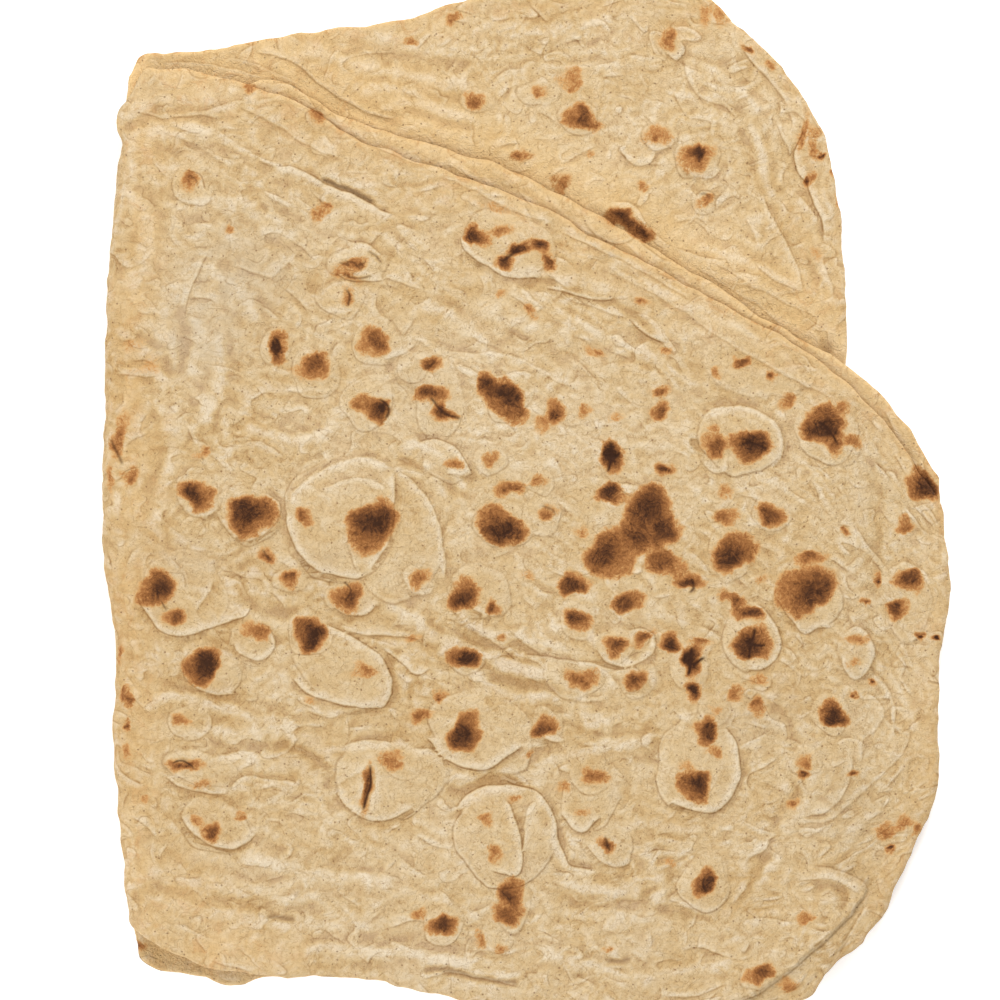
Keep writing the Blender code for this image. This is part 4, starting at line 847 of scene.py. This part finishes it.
def relief(px, flow):
    """All relief of a bare dough surface in mm, and the fields that colour it, over a ply's grid."""
    shape = px.shape[:2]
    flat = px.reshape(-1, 2)
    rise, inside, rim_gap, rim_strength = blisters(flat)
    char = toasted(flat)
    crack_gap, crack_strength, crack_depth = cracks(flat)
    lip_rise, lip_gap, lip_strength = lips(flat)
    corner, corner_gap, corner_strength = steps(flat)
    wrinkles, folds, flakes = crumple(px, flow)
    dome = smooth(0.5 + inside / 10)
    calm = 1 - 0.55 * dome - 0.15 * smooth(char)
    folded = 0.75 * waves(flat) * (1 - 0.5 * dome) + lip_rise - crack_depth
    folded -= 0.15 * smooth(char * 1.4) * np.abs(mottled(flat, 4, 4, 97))
    folded = folded.reshape(shape) + wrinkles * calm.reshape(shape)
    height = folded + (rise + corner).reshape(shape)
    alone = 1 - smooth(1.6 * blurred(lip_strength.reshape(shape), 12)).ravel()
    # These drawn edges carry the painted shade and highlight lines of the dough material
    rim = stronger((rim_gap, 0.95 * rim_strength * alone), (lip_gap, lip_strength))
    rim_gap, rim_strength = stronger(rim, (corner_gap, corner_strength))
    ash = clouds(flat, ASHEN) * (0.7 + 0.6 * mottled(flat, 17, 15, 115))
    blotch = 0.5 + 0.42 * mottled(flat, 75, 66, 111) + 0.30 * mottled(flat, 30, 27, 113)
    blotch += 0.42 * clouds(flat, TONES)
    clear = (1 - 0.75 * dome.reshape(shape)) * (1 - 0.8 * smooth(2 * rim_strength)).reshape(shape)
    fields = {
        "relief_shade_mask": hollows(folded), "char": char, "blotch": np.clip(blotch, -0.2, 1.3),
        "ash": np.clip(ash, 0, 1), "rim": rim_gap, "rim_strength": rim_strength,
        "crack": crack_gap, "crack_strength": crack_strength,
        "fold": folds[0], "fold_strength": folds[1] * clear,
        "flake": flakes[0], "flake_strength": flakes[1] * clear,
    }
    return height, {name: np.reshape(field, shape) for name, field in fields.items()}


def travelled(grid):
    """How far each point of a grid is from the left, right, bottom and top side along the grid, in pixels."""
    def run(axis):
        lengths = np.linalg.norm(np.diff(grid, axis=axis), axis=2) / PX
        total = np.cumsum(lengths, axis=axis)
        return np.concatenate((np.zeros_like(total.take([0], axis)), total), axis)

    from_left, from_bottom = run(0), run(1)
    from_right, from_top = from_left[-1:] - from_left, from_bottom[:, -1:] - from_bottom
    return np.stack((from_left, from_right, from_bottom, from_top), axis=-1)


def blurred(grid, rounds):
    """A grid of numbers, each mixed with its neighbours as often as asked."""
    for _ in range(rounds):
        for axis in (0, 1):
            padded = np.concatenate((grid.take([0], axis), grid, grid.take([-1], axis)), axis)
            count = grid.shape[axis]
            before, after = padded.take(range(count), axis), padded.take(range(2, count + 2), axis)
            grid = 0.25 * before + 0.5 * grid + 0.25 * after
    return grid


def spacing(length, fine_from=0.0, fine_to=1.0, fine=FINE, coarse=COARSE):
    """Shares of a length: close at both ends, fine over one stretch and coarse elsewhere."""
    places, at = list(LIP_CELLS), LIP_CELLS[-1]
    last = length - LIP_CELLS[-1]
    while True:
        at += fine if fine_from * length <= at <= fine_to * length else coarse
        if at > last - 0.6 * fine:
            break
        places.append(at)
    places += [length - cell for cell in reversed(LIP_CELLS)]
    return np.array(places) / length


def uneven(points):
    """Points pushed about by up to a millimetre or so, which makes the smooth outlines uneven."""
    wide, close = pushes(points, WOBBLE, 141), pushes(FINE_WOBBLE * points, WOBBLE, 143)
    return points + WOBBLE_REACH * wide + FINE_WOBBLE_REACH * close


class Ply:
    """One ply of dough: the grid that fills its outline and the heights of its two faces."""

    def __init__(self, name, left, right, bottom, top, u, v):
        self.name = name
        self.grid = uneven(patch(left, right, bottom, top, u, v))
        self.shape = self.grid.shape[:2]
        self.points = self.grid.reshape(-1, 2)
        loop = np.vstack((left, top, right[::-1], bottom[::-1]))
        self.outline = uneven(along(loop, np.linspace(0, 1, OUTLINE_POINTS, endpoint=False)))
        self.lipped = uneven(np.vstack((bottom, right[1:], top[::-1][1:])))
        self.flow = travelled(self.grid)
        nothing = np.zeros(self.shape)
        self.lower_fields = {"under": nothing, "shelter": nothing}

    def lay_on(self, below, level, cover, all_lips=True):
        """The ply's mid height and lip where it lies on those below, and where it is bare or under a ply."""
        closed = np.vstack((self.outline, self.outline[:1]))
        lips = closed if all_lips else along(self.lipped, np.linspace(0, 1, LIPPED_POINTS))
        depth, _, _ = distance_to(lips, self.points)
        self.depth = np.maximum(depth, SLIVER)
        self.lip = round_edge(self.depth)
        base = np.zeros(len(depth))
        for other in below:
            base += PITCH * smooth(1 + depth_inside(other.outline, self.points) / TENT)
        wave = mottled(self.points, *EDGE_WAVES, 20 + level)
        base += smooth(1 - self.depth / EDGE_BAND) * EDGE_LIFT * smooth(0.3 + wave) * (level > 0)
        self.middle = base + PLY / 2
        outside = np.full(len(depth), 1.0) if cover is None else -depth_inside(cover, self.points)
        self.bare = smooth(outside / BARE_FADE)
        # Painted shade: a dark line on this ply where it runs in under the edge of the ply above
        under = np.exp(-np.clip(outside + CONTACT_SHADE_START, 0, None) / CONTACT_SHADE_FADE) * smooth(self.depth / CONTACT_SHADE_END)
        self.under = under.reshape(self.shape)
        # Painted light: a warm, paler colour that lifts the shade of the ply above on the strip beside its
        # edge
        shelter = np.zeros(len(depth)) if cover is None else np.exp(-np.clip(outside, 0, None) / PAINTED_LIGHT_FADE)
        shelter *= 1.0 if level < 2 else 0.4
        self.shelter = shelter.reshape(self.shape)

    def surfaces(self):
        """The upper and lower face, and the fields that colour them."""
        height, self.fields = relief(in_pixels(self.grid), self.flow)
        held = self.bare * smooth(self.depth / EDGE_FADE)
        height = height.ravel()
        upper = self.middle + self.lip * (PLY / 2 + height * MM * held)
        lower = self.middle - self.lip * PLY / 2
        self.upper = np.column_stack((self.points, upper)).reshape(*self.shape, 3)
        self.lower = np.column_stack((self.points, lower)).reshape(*self.shape, 3)
        self.fields.update(gold=golden(self), under=self.under, shelter=self.shelter)
        self.flat = self.grid


def golden(ply):
    """Where the ply is golden: its lips, and softly a band beside the left and the top side."""
    left, right, _, top = np.moveaxis(ply.flow, -1, 0)
    lips = smooth(1 - ply.depth / GOLDEN_LIP).reshape(ply.shape) * (0.35 + 0.65 * smooth(1.6 - top / 40))
    px = in_pixels(ply.grid)
    patchy = 0.62 + 0.55 * mottled(px, 28, 40, 121)
    band = np.maximum(0.95 * smooth(1.1 - left / 70), 0.60 * smooth(1 - top / 66))
    band = np.maximum(band, 0.45 * smooth(1 - right / 52))
    band = np.maximum(band, clouds(px, GOLDEN))
    return np.clip(np.maximum(lips, band * patchy), 0, 1)


def underside(ply):
    """The fields of the face that the bread lies on: the same dough, with its spots in other places."""
    px = in_pixels(ply.grid)
    px[..., 0] = 2 * PHOTO_CENTRE[0] - px[..., 0]
    _, fields = relief(px, ply.flow)
    fields["char"] = 0.85 * fields["char"]
    return fields


def wrap_round_fold(ply, columns):
    """Rolls the left side of the top ply round the outer fold, down to the bottom of the bread."""
    outer, inner = ply.grid[0], ply.grid[columns]
    reach = np.linalg.norm(outer - inner, axis=1)[:, None]
    outward = (outer - inner) / np.maximum(reach, 1e-9)
    run = np.concatenate(([0], np.cumsum(np.linalg.norm(np.diff(outer, axis=0), axis=1))))
    corner = placed([FOLD_LINE[-1]])[0]
    corner_run = run[np.argmin(np.linalg.norm(outer - corner, axis=1))]
    rolled = smooth((corner_run - OPEN_CORNER - run) / FOLD_END)[:, None]
    top = ply.middle.reshape(ply.shape)[columns][:, None] + PLY / 2
    turns = np.linspace(-np.pi / 2, np.pi / 2, columns + 1)[:-1]
    tail = int(round(columns * TAIL_SHARE))
    depth = ply.depth.reshape(ply.shape)
    lip = ply.lip.reshape(ply.shape)
    middle = np.concatenate((ply.grid, ply.middle.reshape(*ply.shape, 1)), axis=2)
    normal = np.zeros_like(middle)
    normal[..., 2] = 1
    flat = ply.grid.copy()
    end_depth = np.minimum(run, run[-1] - run)
    end_lip = round_edge(end_depth)
    for column, turn in enumerate(turns):
        out, rise = np.cos(turn), (1 + np.sin(turn)) / 2
        slack = TAIL * max(0, tail - column) / tail
        round_xy = inner + outward * (reach * out - slack)
        round_point = np.column_stack((round_xy, rise * top[:, 0]))
        round_normal = np.column_stack((outward * out, np.full(len(outer), np.sin(turn))))
        round_point -= round_normal * PLY / 2
        normal[column] = rolled * round_normal + (1 - rolled) * normal[column]
        middle[column] = rolled * round_point + (1 - rolled) * middle[column]
        arc = (np.pi / 2 - turn) * (reach[:, 0] + top[:, 0] / 2) / 2
        flat[column] = rolled * (inner + outward * arc[:, None]) + (1 - rolled) * flat[column]
        tail_lip = 1.0 if column > 1 else (0.0, 0.75)[column]
        lip[column] = rolled[:, 0] * end_lip * tail_lip + (1 - rolled[:, 0]) * lip[column]
    normal /= np.linalg.norm(normal, axis=2, keepdims=True)
    from_fold = np.linalg.norm(flat[:columns] - flat[columns], axis=2) / PX
    ply.flow[:columns, :, 0] = ply.flow[columns, :, 0] - from_fold
    height, ply.fields = relief(in_pixels(flat), ply.flow)
    held = smooth(depth / EDGE_FADE)
    held[:columns] = rolled[:, 0] * smooth(end_depth / EDGE_FADE) + (1 - rolled[:, 0]) * held[:columns]
    half_way = smooth(np.linspace(-0.35, 1.4, columns))[:, None]
    held[:columns] *= half_way
    height = height * held
    thick = (lip * (PLY / 2 + height * MM))[..., None]
    ply.upper = middle + normal * thick
    ply.lower = middle - normal * lip[..., None] * PLY / 2
    gold = golden(ply)
    gold[:columns] *= 1 - 0.5 * rolled[:, 0]
    ply.fields.update(gold=gold, under=ply.under, shelter=ply.shelter)
    ply.flat = flat


def grid_faces(number, keep=None):
    """The cells of a grid of point numbers as quads, each corner cell as two triangles."""
    columns, rows = number.shape
    faces = []
    for i in range(columns - 1):
        for j in range(rows - 1):
            if keep is not None and not keep(i, j):
                continue
            a, b, c, d = number[i, j], number[i + 1, j], number[i + 1, j + 1], number[i, j + 1]
            corner = (i in (0, columns - 2)) and (j in (0, rows - 2))
            if corner and ((i == 0) == (j == 0)):
                faces += [(a, b, c), (a, c, d)]
            elif corner:
                faces += [(a, b, d), (b, c, d)]
            else:
                faces.append((a, b, c, d))
    return faces


def coarse_faces(number, ring, step):
    """A grid's middle in large faces that keep every point where they meet the fine ring round it."""
    def marks(count):
        places = list(range(ring, count - 1 - ring, step))
        return places + [count - 1 - ring]

    across, along_rows = marks(number.shape[0]), marks(number.shape[1])
    faces = []
    for i, i_next in zip(across[:-1], across[1:]):
        for j, j_next in zip(along_rows[:-1], along_rows[1:]):
            south = range(i, i_next) if j == along_rows[0] else (i,)
            east = range(j, j_next) if i_next == across[-1] else (j,)
            north = range(i_next, i, -1) if j_next == along_rows[-1] else (i_next,)
            west = range(j_next, j, -1) if i == across[0] else (j_next,)
            face = [number[k, j] for k in south] + [number[i_next, k] for k in east]
            face += [number[k, j_next] for k in north] + [number[i, k] for k in west]
            faces.append(tuple(face))
    return faces


def build_piece(ply, fine_side="upper"):
    """The closed mesh of a ply, with its fields as attributes and its UV map."""
    columns, rows = ply.shape
    number = np.arange(columns * rows).reshape(columns, rows)
    under = number + columns * rows
    for rim in (np.s_[0, :], np.s_[-1, :], np.s_[:, 0], np.s_[:, -1]):
        under[rim] = number[rim]

    def in_ring(i, j):
        return min(i, columns - 2 - i, j, rows - 2 - j) < EDGE_RING

    fine, plain = (number, under) if fine_side == "upper" else (under, number)
    fine_faces = grid_faces(fine)
    plain_faces = grid_faces(plain, in_ring) + coarse_faces(plain, EDGE_RING, LARGE_FACE)
    if fine_side == "upper":
        plain_faces = [face[::-1] for face in plain_faces]
    else:
        fine_faces = [face[::-1] for face in fine_faces]
    faces = fine_faces + plain_faces

    points = np.vstack((ply.upper.reshape(-1, 3), ply.lower.reshape(-1, 3)))
    used = np.zeros(len(points), bool)
    used[[k for face in faces for k in face]] = True
    renumber = np.cumsum(used) - 1
    faces = [tuple(int(renumber[k]) for k in face) for face in faces]
    mesh = bpy.data.meshes.new(ply.name)
    mesh.from_pydata(points[used].tolist(), [], faces)
    for name, field in ply.fields.items():
        both = np.concatenate((field.ravel(), ply.lower_fields.get(name, field).ravel()))[used]
        values = mesh.attributes.new(name, "FLOAT", "POINT")
        values.data.foreach_set("value", both.astype(np.float32))
    sheet = in_pixels(ply.flat).reshape(-1, 2) + SHEET_SHIFT * len(bpy.data.meshes)
    sheet = np.column_stack((sheet, np.zeros(len(sheet))))
    sheet = np.vstack((sheet, sheet))[used]
    pattern = mesh.attributes.new("sheet", "FLOAT_VECTOR", "POINT")
    pattern.data.foreach_set("vector", sheet.ravel().astype(np.float32))
    lay_out(mesh, ply, used, len(fine_faces))
    mesh.validate()
    mesh.shade_smooth()
    piece = bpy.data.objects.new(ply.name, mesh)
    bpy.context.scene.collection.objects.link(piece)
    return piece


def lay_out(mesh, ply, used, fine_count):
    """The UV map: the side that shows fills it but for a strip at the foot, which takes the other side."""
    flat = ply.flat.reshape(-1, 2)
    least, most = flat.min(axis=0), flat.max(axis=0)
    share = (flat - least) / (most - least)
    across = UV_EDGE + UV_SPAN * share[:, 0]
    fine_uv = np.column_stack((across, STRIP + UV_EDGE + (UV_SPAN - STRIP) * share[:, 1]))
    plain_uv = np.column_stack((across, STRIP_EDGE + STRIP_SPAN * share[:, 1]))
    fine_uv, plain_uv = (np.vstack((uv, uv))[used] for uv in (fine_uv, plain_uv))
    count = len(mesh.loops)
    vertex = np.zeros(count, int)
    mesh.loops.foreach_get("vertex_index", vertex)
    starts = np.zeros(len(mesh.polygons), int)
    mesh.polygons.foreach_get("loop_start", starts)
    first_plain = starts[fine_count]
    uv = np.where((np.arange(count) < first_plain)[:, None], fine_uv[vertex], plain_uv[vertex])
    layer = mesh.uv_layers.new(name="OFBake")
    layer.data.foreach_set("uv", uv.ravel().astype(np.float32))


def nested(name, margin, top, u, v):
    """A ply that lies a little inside the top one, up to its own slanting edge."""
    left, right, bottom = (spline(points) for points in (FOLD_LINE, RIGHT_SIDE, TOP_PLY_BOTTOM))
    left, right, bottom = inset(left, margin), inset(right, -margin), inset(bottom, -margin)
    low_left, low_right = left[0], bottom[-1]
    return Ply(
        name, edge(low_left, left, top[0]), edge(low_right, right, top[-1]),
        edge(low_left, bottom, low_right), top, u, v,
    )


def make_plies():
    """The five plies, the lowest first. Each has its mesh points where it shows."""
    fold = spline(FOLD_LINE)
    second_top = spline(SECOND_PLY_DIAGONAL)
    upper_top, upper_bottom = spline(UPPER_LAYER_TOP), spline(UPPER_LAYER_BOTTOM)
    bottom_right, bottom_bottom = spline(BOTTOM_PLY_RIGHT), spline(BOTTOM_PLY_BOTTOM)
    bottom_top = inset(upper_top, BOTTOM_TOP_MARGIN)
    wrap = np.linspace(0, FOLD_WIDTH / DOUGH_WIDTH, WRAP_COLUMNS, endpoint=False)
    rest = spacing(DOUGH_WIDTH)
    top_u = np.concatenate((wrap, rest[rest > FOLD_WIDTH / DOUGH_WIDTH + 0.002]))
    bottom = Ply(
        "bottom_ply", edge(bottom_bottom[0], inset(fold, BOTTOM_MARGIN), bottom_top[0]), bottom_right,
        bottom_bottom, np.vstack((bottom_top[:-10], bottom_right[-1])),
        spacing(DOUGH_WIDTH, fine=1.5 * MM), spacing(BOTTOM_LENGTH, fine=1.5 * MM),
    )
    upper = Ply(
        "upper_layer", edge(upper_bottom[0], inset(fold, UPPER_MARGIN), upper_top[0]),
        spline(UPPER_LAYER_RIGHT), upper_bottom, upper_top,
        spacing(DOUGH_WIDTH), spacing(UPPER_LENGTH, fine_from=0.60),
    )
    third = nested(
        "third_ply", THIRD_MARGIN, inset(second_top, THIRD_TOP_MARGIN),
        spacing(DOUGH_WIDTH, fine=1.6 * MM), spacing(DOUGH_WIDTH, fine_from=0.94, coarse=6 * MM),
    )
    second = nested(
        "second_ply", SECOND_MARGIN, second_top,
        spacing(DOUGH_WIDTH, fine=1.2 * MM), spacing(DOUGH_WIDTH, fine_from=0.90, coarse=6 * MM),
    )
    top = Ply(
        "top_ply", np.vstack((fold, spline([FOLD_LINE[-1], *TOP_PLY_CORNER])[1:])), spline(RIGHT_SIDE),
        spline(TOP_PLY_BOTTOM), spline(TOP_PLY_DIAGONAL), top_u, spacing(DOUGH_WIDTH),
    )
    return [bottom, upper, third, second, top]


class Shader:
    """A short way to write node trees: each call makes one node and returns its output."""

    def __init__(self, name):
        self.material = bpy.data.materials.new(name)
        self.material.use_nodes = True
        self.tree = self.material.node_tree
        self.surface = self.tree.nodes["Principled BSDF"]

    def node(self, kind, output=0, settings=None, **inputs):
        made = self.tree.nodes.new("ShaderNode" + kind)
        for key, value in (settings or {}).items():
            setattr(made, key, value)
        for key, value in inputs.items():
            self.put(made.inputs[int(key[1:]) if key[1:].isdigit() else key.replace("_", " ")], value)
        return made.outputs[output]

    def put(self, socket, value):
        if isinstance(value, bpy.types.NodeSocket):
            self.tree.links.new(value, socket)
        else:
            socket.default_value = value

    def field(self, name):
        return self.node("Attribute", output="Fac", settings={"attribute_name": name})

    def math(self, operation, a, b=0.0, clamp=False):
        return self.node("Math", settings={"operation": operation, "use_clamp": clamp}, i0=a, i1=b)

    def times(self, a, b, clamp=False):
        return self.math("MULTIPLY", a, b, clamp)

    def plus(self, a, b):
        return self.math("ADD", a, b)

    def noise(self, place, scale, detail, rough, twist=0.0):
        return self.node(
            "TexNoise", settings={"noise_dimensions": "2D"}, Vector=place, Scale=scale, Detail=detail,
            Roughness=rough, Distortion=twist,
        )

    def ramp(self, value, stops):
        made = self.tree.nodes.new("ShaderNodeValToRGB")
        elements = made.color_ramp.elements
        while len(elements) < len(stops):
            elements.new(0.5)
        for element, (position, colour) in zip(elements, stops):
            element.position = position
            element.color = colour
        self.put(made.inputs[0], value)
        return made.outputs[0]

    def mix(self, factor, a, b, blend="MIX"):
        return self.node(
            "Mix", output=2, settings={"data_type": "RGBA", "blend_type": blend}, i0=factor, i6=a, i7=b,
        )

    def step(self, value, start, end):
        return self.node(
            "MapRange", settings={"interpolation_type": "SMOOTHSTEP"},
            Value=value, From_Min=start, From_Max=end, To_Min=0.0, To_Max=1.0,
        )


def srgb(red, green, blue):
    """A colour as read off the screen, 0 to 255, in the linear values that shaders use."""
    def linear(c):
        c /= 255
        return c / 12.92 if c <= 0.04045 else ((c + 0.055) / 1.055) ** 2.4
    return (linear(red), linear(green), linear(blue), 1.0)


DOUGH_TINT = (0.875, 0.889, 0.916, 1.0)  # what the light's strength takes off the dough's colours


def dough_material():
    """Baked dough: cream to tan, with toasted spots, fine fibres, pores, flaky edges and cracks, and painted
    shade, highlight and light at its relief, its edges and beside the plies above.
    """
    s = Shader("baked_dough")
    place = s.node("Attribute", output="Vector", settings={"attribute_name": "sheet"})
    char, relief_shade_mask = s.field("char"), s.field("relief_shade_mask")

    mottle = s.noise(place, 0.065, 3.0, 0.62, twist=0.6)
    fibre = s.noise(place, 0.26, 3.0, 0.66, twist=1.2)
    threads = s.noise(place, 0.105, 1.5, 0.55, twist=2.2)
    veins = s.noise(place, 0.042, 2.5, 0.6, twist=1.4)

    def band(value, middle, half):
        """1 where a value passes its middle, and 0 from half a band on."""
        return s.step(s.math("ABSOLUTE", s.math("SUBTRACT", value, middle)), half, 0.0)

    def lip(name, shade_at=-0.9, highlight_at=1.3):
        """Beside a drawn edge: the thin dark line below it as painted shade, the pale line on it as painted
        highlight, and its step.
        """
        gap, strength = s.field(name), s.field(name + "_strength")
        dark = s.times(band(gap, shade_at, 1.5), strength)
        highlight = s.times(band(gap, highlight_at, 2.0), strength)
        return dark, highlight, s.times(s.step(gap, -1.3, 0.9), strength)

    rim_shade, rim_highlight, rim_step = lip("rim")
    fold_shade, fold_highlight, fold_step = lip("fold")
    flake_shade, flake_highlight, flake_step = lip("flake")
    crack = s.times(band(s.field("crack"), 0.0, 1.15), s.field("crack_strength"))

    tone = s.plus(s.times(s.field("blotch"), 0.50), s.times(mottle, 0.50))
    base = s.ramp(tone, [(0.28, srgb(205, 168, 114)), (0.44, srgb(216, 184, 134)),
                         (0.58, srgb(222, 194, 149)), (0.74, srgb(228, 204, 166))])
    # Painted shade in the hollows and painted highlight on the ridges of the relief, over the dough's own
    # tone
    relief_shade_and_tone = s.ramp(relief_shade_mask, [
        (0.0, srgb(166, 119, 66)), (0.3, srgb(204, 167, 113)), (0.5, srgb(220, 190, 143)),
        (0.75, srgb(231, 208, 172)), (1.0, srgb(245, 229, 203)),
    ])
    colour = s.mix(0.54, base, relief_shade_and_tone)
    fine = s.ramp(fibre, [
        (0.30, (0.75, 0.67, 0.57, 1)), (0.46, (0.97, 0.96, 0.94, 1)), (0.64, (1.03, 1.035, 1.04, 1)),
    ])
    colour = s.mix(0.90, colour, fine, "MULTIPLY")
    colour = s.mix(s.times(s.field("gold"), 0.66), colour, srgb(230, 190, 131))
    # Painted light that lifts the shade beside the edge of the ply above
    colour = s.mix(s.times(s.field("shelter"), 0.70), colour, srgb(254, 214, 150))

    flecks = s.times(s.step(mottle, 0.53, 0.64), s.field("gold"))
    colour = s.mix(s.times(flecks, 0.55), colour, srgb(206, 150, 88))
    colour = s.mix(s.times(s.field("ash"), 0.55), colour, srgb(203, 184, 155))

    few_threads = s.step(mottle, 0.46, 0.62)
    thread = s.times(band(threads, 0.5, 0.040), few_threads)
    vein = s.times(band(veins, 0.47, 0.016), s.step(threads, 0.42, 0.58))
    colour = s.mix(s.times(thread, 0.42), colour, (0.80, 0.72, 0.62, 1), "MULTIPLY")
    colour = s.mix(s.times(vein, 0.75), colour, (0.74, 0.64, 0.52, 1), "MULTIPLY")
    # Painted highlight along the raised side of blister outlines, flaky edges and folds
    highlight_line = s.plus(rim_highlight, s.times(s.plus(fold_highlight, flake_highlight), 0.45))
    colour = s.mix(s.times(highlight_line, 0.50, clamp=True), colour, srgb(238, 216, 178))

    pore = s.node("TexVoronoi", output="Distance", settings={"voronoi_dimensions": "2D"},
                  Vector=place, Scale=0.085, Randomness=1.0)
    pores = s.times(s.step(pore, 0.115, 0.05), s.step(threads, 0.50, 0.60))
    colour = s.mix(s.times(pores, 0.65), colour, srgb(124, 84, 48))

    frayed = s.plus(s.times(s.math("SUBTRACT", fibre, 0.5), 0.55),
                    s.times(s.math("SUBTRACT", threads, 0.5), 0.34))
    frayed = s.plus(frayed, s.times(s.times(band(veins, 0.50, 0.05), s.step(char, 0.25, 0.8)), 0.16))
    toast = s.plus(char, s.times(frayed, s.step(char, 0.0, 0.30)))
    browned = s.ramp(toast, [
        (0.06, srgb(222, 184, 130)), (0.18, srgb(214, 163, 102)), (0.36, srgb(184, 125, 70)),
        (0.56, srgb(146, 92, 47)), (0.78, srgb(104, 62, 31)), (1.0, srgb(66, 37, 18)),
    ])
    colour = s.mix(s.step(toast, 0.02, 0.24), colour, browned)

    # Painted shade: a thin dark line below blister outlines, flaky edges and folds
    shade_line = s.plus(rim_shade, s.times(s.plus(fold_shade, flake_shade), 0.60))
    colour = s.mix(s.times(shade_line, 0.85, clamp=True), colour, (0.52, 0.40, 0.28, 1), "MULTIPLY")
    # Painted shade under the edge of the ply above
    colour = s.mix(s.times(s.field("under"), 0.80), colour, (0.38, 0.26, 0.16, 1), "MULTIPLY")
    colour = s.mix(s.times(crack, 1.0, clamp=True), colour, srgb(62, 34, 18))
    s.put(s.surface.inputs["Base Color"], s.mix(1.0, colour, DOUGH_TINT, "MULTIPLY"))

    s.put(s.surface.inputs["Roughness"], s.node(
        "MapRange", Value=s.plus(mottle, s.times(char, -0.25)),
        From_Min=0.2, From_Max=0.8, To_Min=0.66, To_Max=0.92,
    ))
    s.surface.inputs["Specular IOR Level"].default_value = 0.15

    bump = s.plus(s.times(fibre, 0.64), s.times(mottle, 0.8))
    bump = s.plus(bump, s.times(band(threads, 0.5, 0.16), 0.16))
    bump = s.plus(bump, s.times(s.step(veins, 0.46, 0.48), 0.16))
    for edge_step, height in ((rim_step, 0.32), (fold_step, 0.18), (flake_step, 0.14)):
        bump = s.plus(bump, s.times(edge_step, height))
    bump = s.math("SUBTRACT", bump, s.times(crack, 0.5))
    s.put(s.surface.inputs["Normal"], s.node("Bump", Height=bump, Strength=0.7, Distance=1.0 * MM))
    return s.material


def build_bread():
    """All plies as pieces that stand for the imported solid."""
    plies = make_plies()
    bottom, upper, third, second, top = plies
    covered_by = {0: upper, 1: second, 2: second, 3: top}
    dough = dough_material()
    for level, ply in enumerate(plies):
        cover = covered_by[level].outline if level in covered_by else None
        ply.lay_on(plies[:level], level, cover, all_lips=level < 4)
        if ply is top:
            wrap_round_fold(ply, WRAP_COLUMNS)
        else:
            ply.surfaces()
        if ply is bottom:
            ply.lower_fields.update(underside(ply))
        piece = build_piece(ply, "lower" if ply is bottom else "upper")
        piece.data.materials.append(dough)
        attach(piece, "root")
        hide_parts(NODE)


FLOOR_REACH = 4.0  # from the middle to a side, in metres
FLOOR_GAP = 0.1 * MM  # under the bread
FLOOR_WHITE = (0.93, 0.93, 0.93, 1)
FLOOR_GLOW = 0.36
SURROUND = 0.60
LIGHTS = {  # place and diameter in metres, power in watts
    "window": ((0.25, 1.15, 1.05), 0.7, 18.5),
    "fill": ((-0.75, -0.95, 0.85), 1.0, 11.2),
}
CAMERA_HEIGHT = 2.4
CAMERA_FOCUS = 9 * MM  # height of the dough's surface, at which the frame is as wide as the photograph


def area_light(name, place, size, power):
    """A white, round light that looks at the origin."""
    light = bpy.data.lights.new(name, "AREA")
    light.shape, light.size, light.energy = "DISK", size, power
    lamp = bpy.data.objects.new(name, light)
    lamp.location = place
    direction = -np.array(place)
    lamp.rotation_euler = (
        np.arctan2(np.hypot(direction[0], direction[1]), -direction[2]), 0,
        np.arctan2(-direction[0], direction[1]),
    )
    bpy.context.scene.collection.objects.link(lamp)


def build_stage():
    """A plain white floor, a large soft light from the far end and an even white surround."""
    mesh = bpy.data.meshes.new("floor")
    reach = FLOOR_REACH
    corners = [(-reach, -reach, 0), (reach, -reach, 0), (reach, reach, 0), (-reach, reach, 0)]
    mesh.from_pydata(corners, [], [(0, 1, 2, 3)])
    floor = bpy.data.objects.new("floor", mesh)
    floor.location.z = -FLOOR_GAP
    white = Shader("white_floor")
    white.surface.inputs["Base Color"].default_value = FLOOR_WHITE
    white.surface.inputs["Roughness"].default_value = 0.9
    white.surface.inputs["Specular IOR Level"].default_value = 0.1
    white.surface.inputs["Emission Color"].default_value = (1, 1, 1, 1)
    white.surface.inputs["Emission Strength"].default_value = FLOOR_GLOW
    mesh.materials.append(white.material)
    bpy.context.scene.collection.objects.link(floor)

    world = bpy.data.worlds.new("surround")
    world.use_nodes = True
    background = world.node_tree.nodes["Background"]
    background.inputs["Color"].default_value = (1, 1, 1, 1)
    background.inputs["Strength"].default_value = SURROUND
    bpy.context.scene.world = world
    for name, (place, size, power) in LIGHTS.items():
        area_light(name, place, size, power)


def build_camera():
    """A long lens straight above, with the photograph's frame."""
    middle = PHOTO_SIDE / 2
    x, y = placed([(middle, middle)])[0]
    lens = bpy.data.cameras.new("camera")
    lens.sensor_width = 36.0
    lens.lens = lens.sensor_width * (CAMERA_HEIGHT - CAMERA_FOCUS) / (PHOTO_SIDE * PX)
    camera = bpy.data.objects.new("camera", lens)
    camera.location = (x, y, CAMERA_HEIGHT)
    bpy.context.scene.collection.objects.link(camera)
    bpy.context.scene.camera = camera


bpy.context.scene.view_settings.view_transform = "Standard"
build_camera()
build_stage()
build_bread()
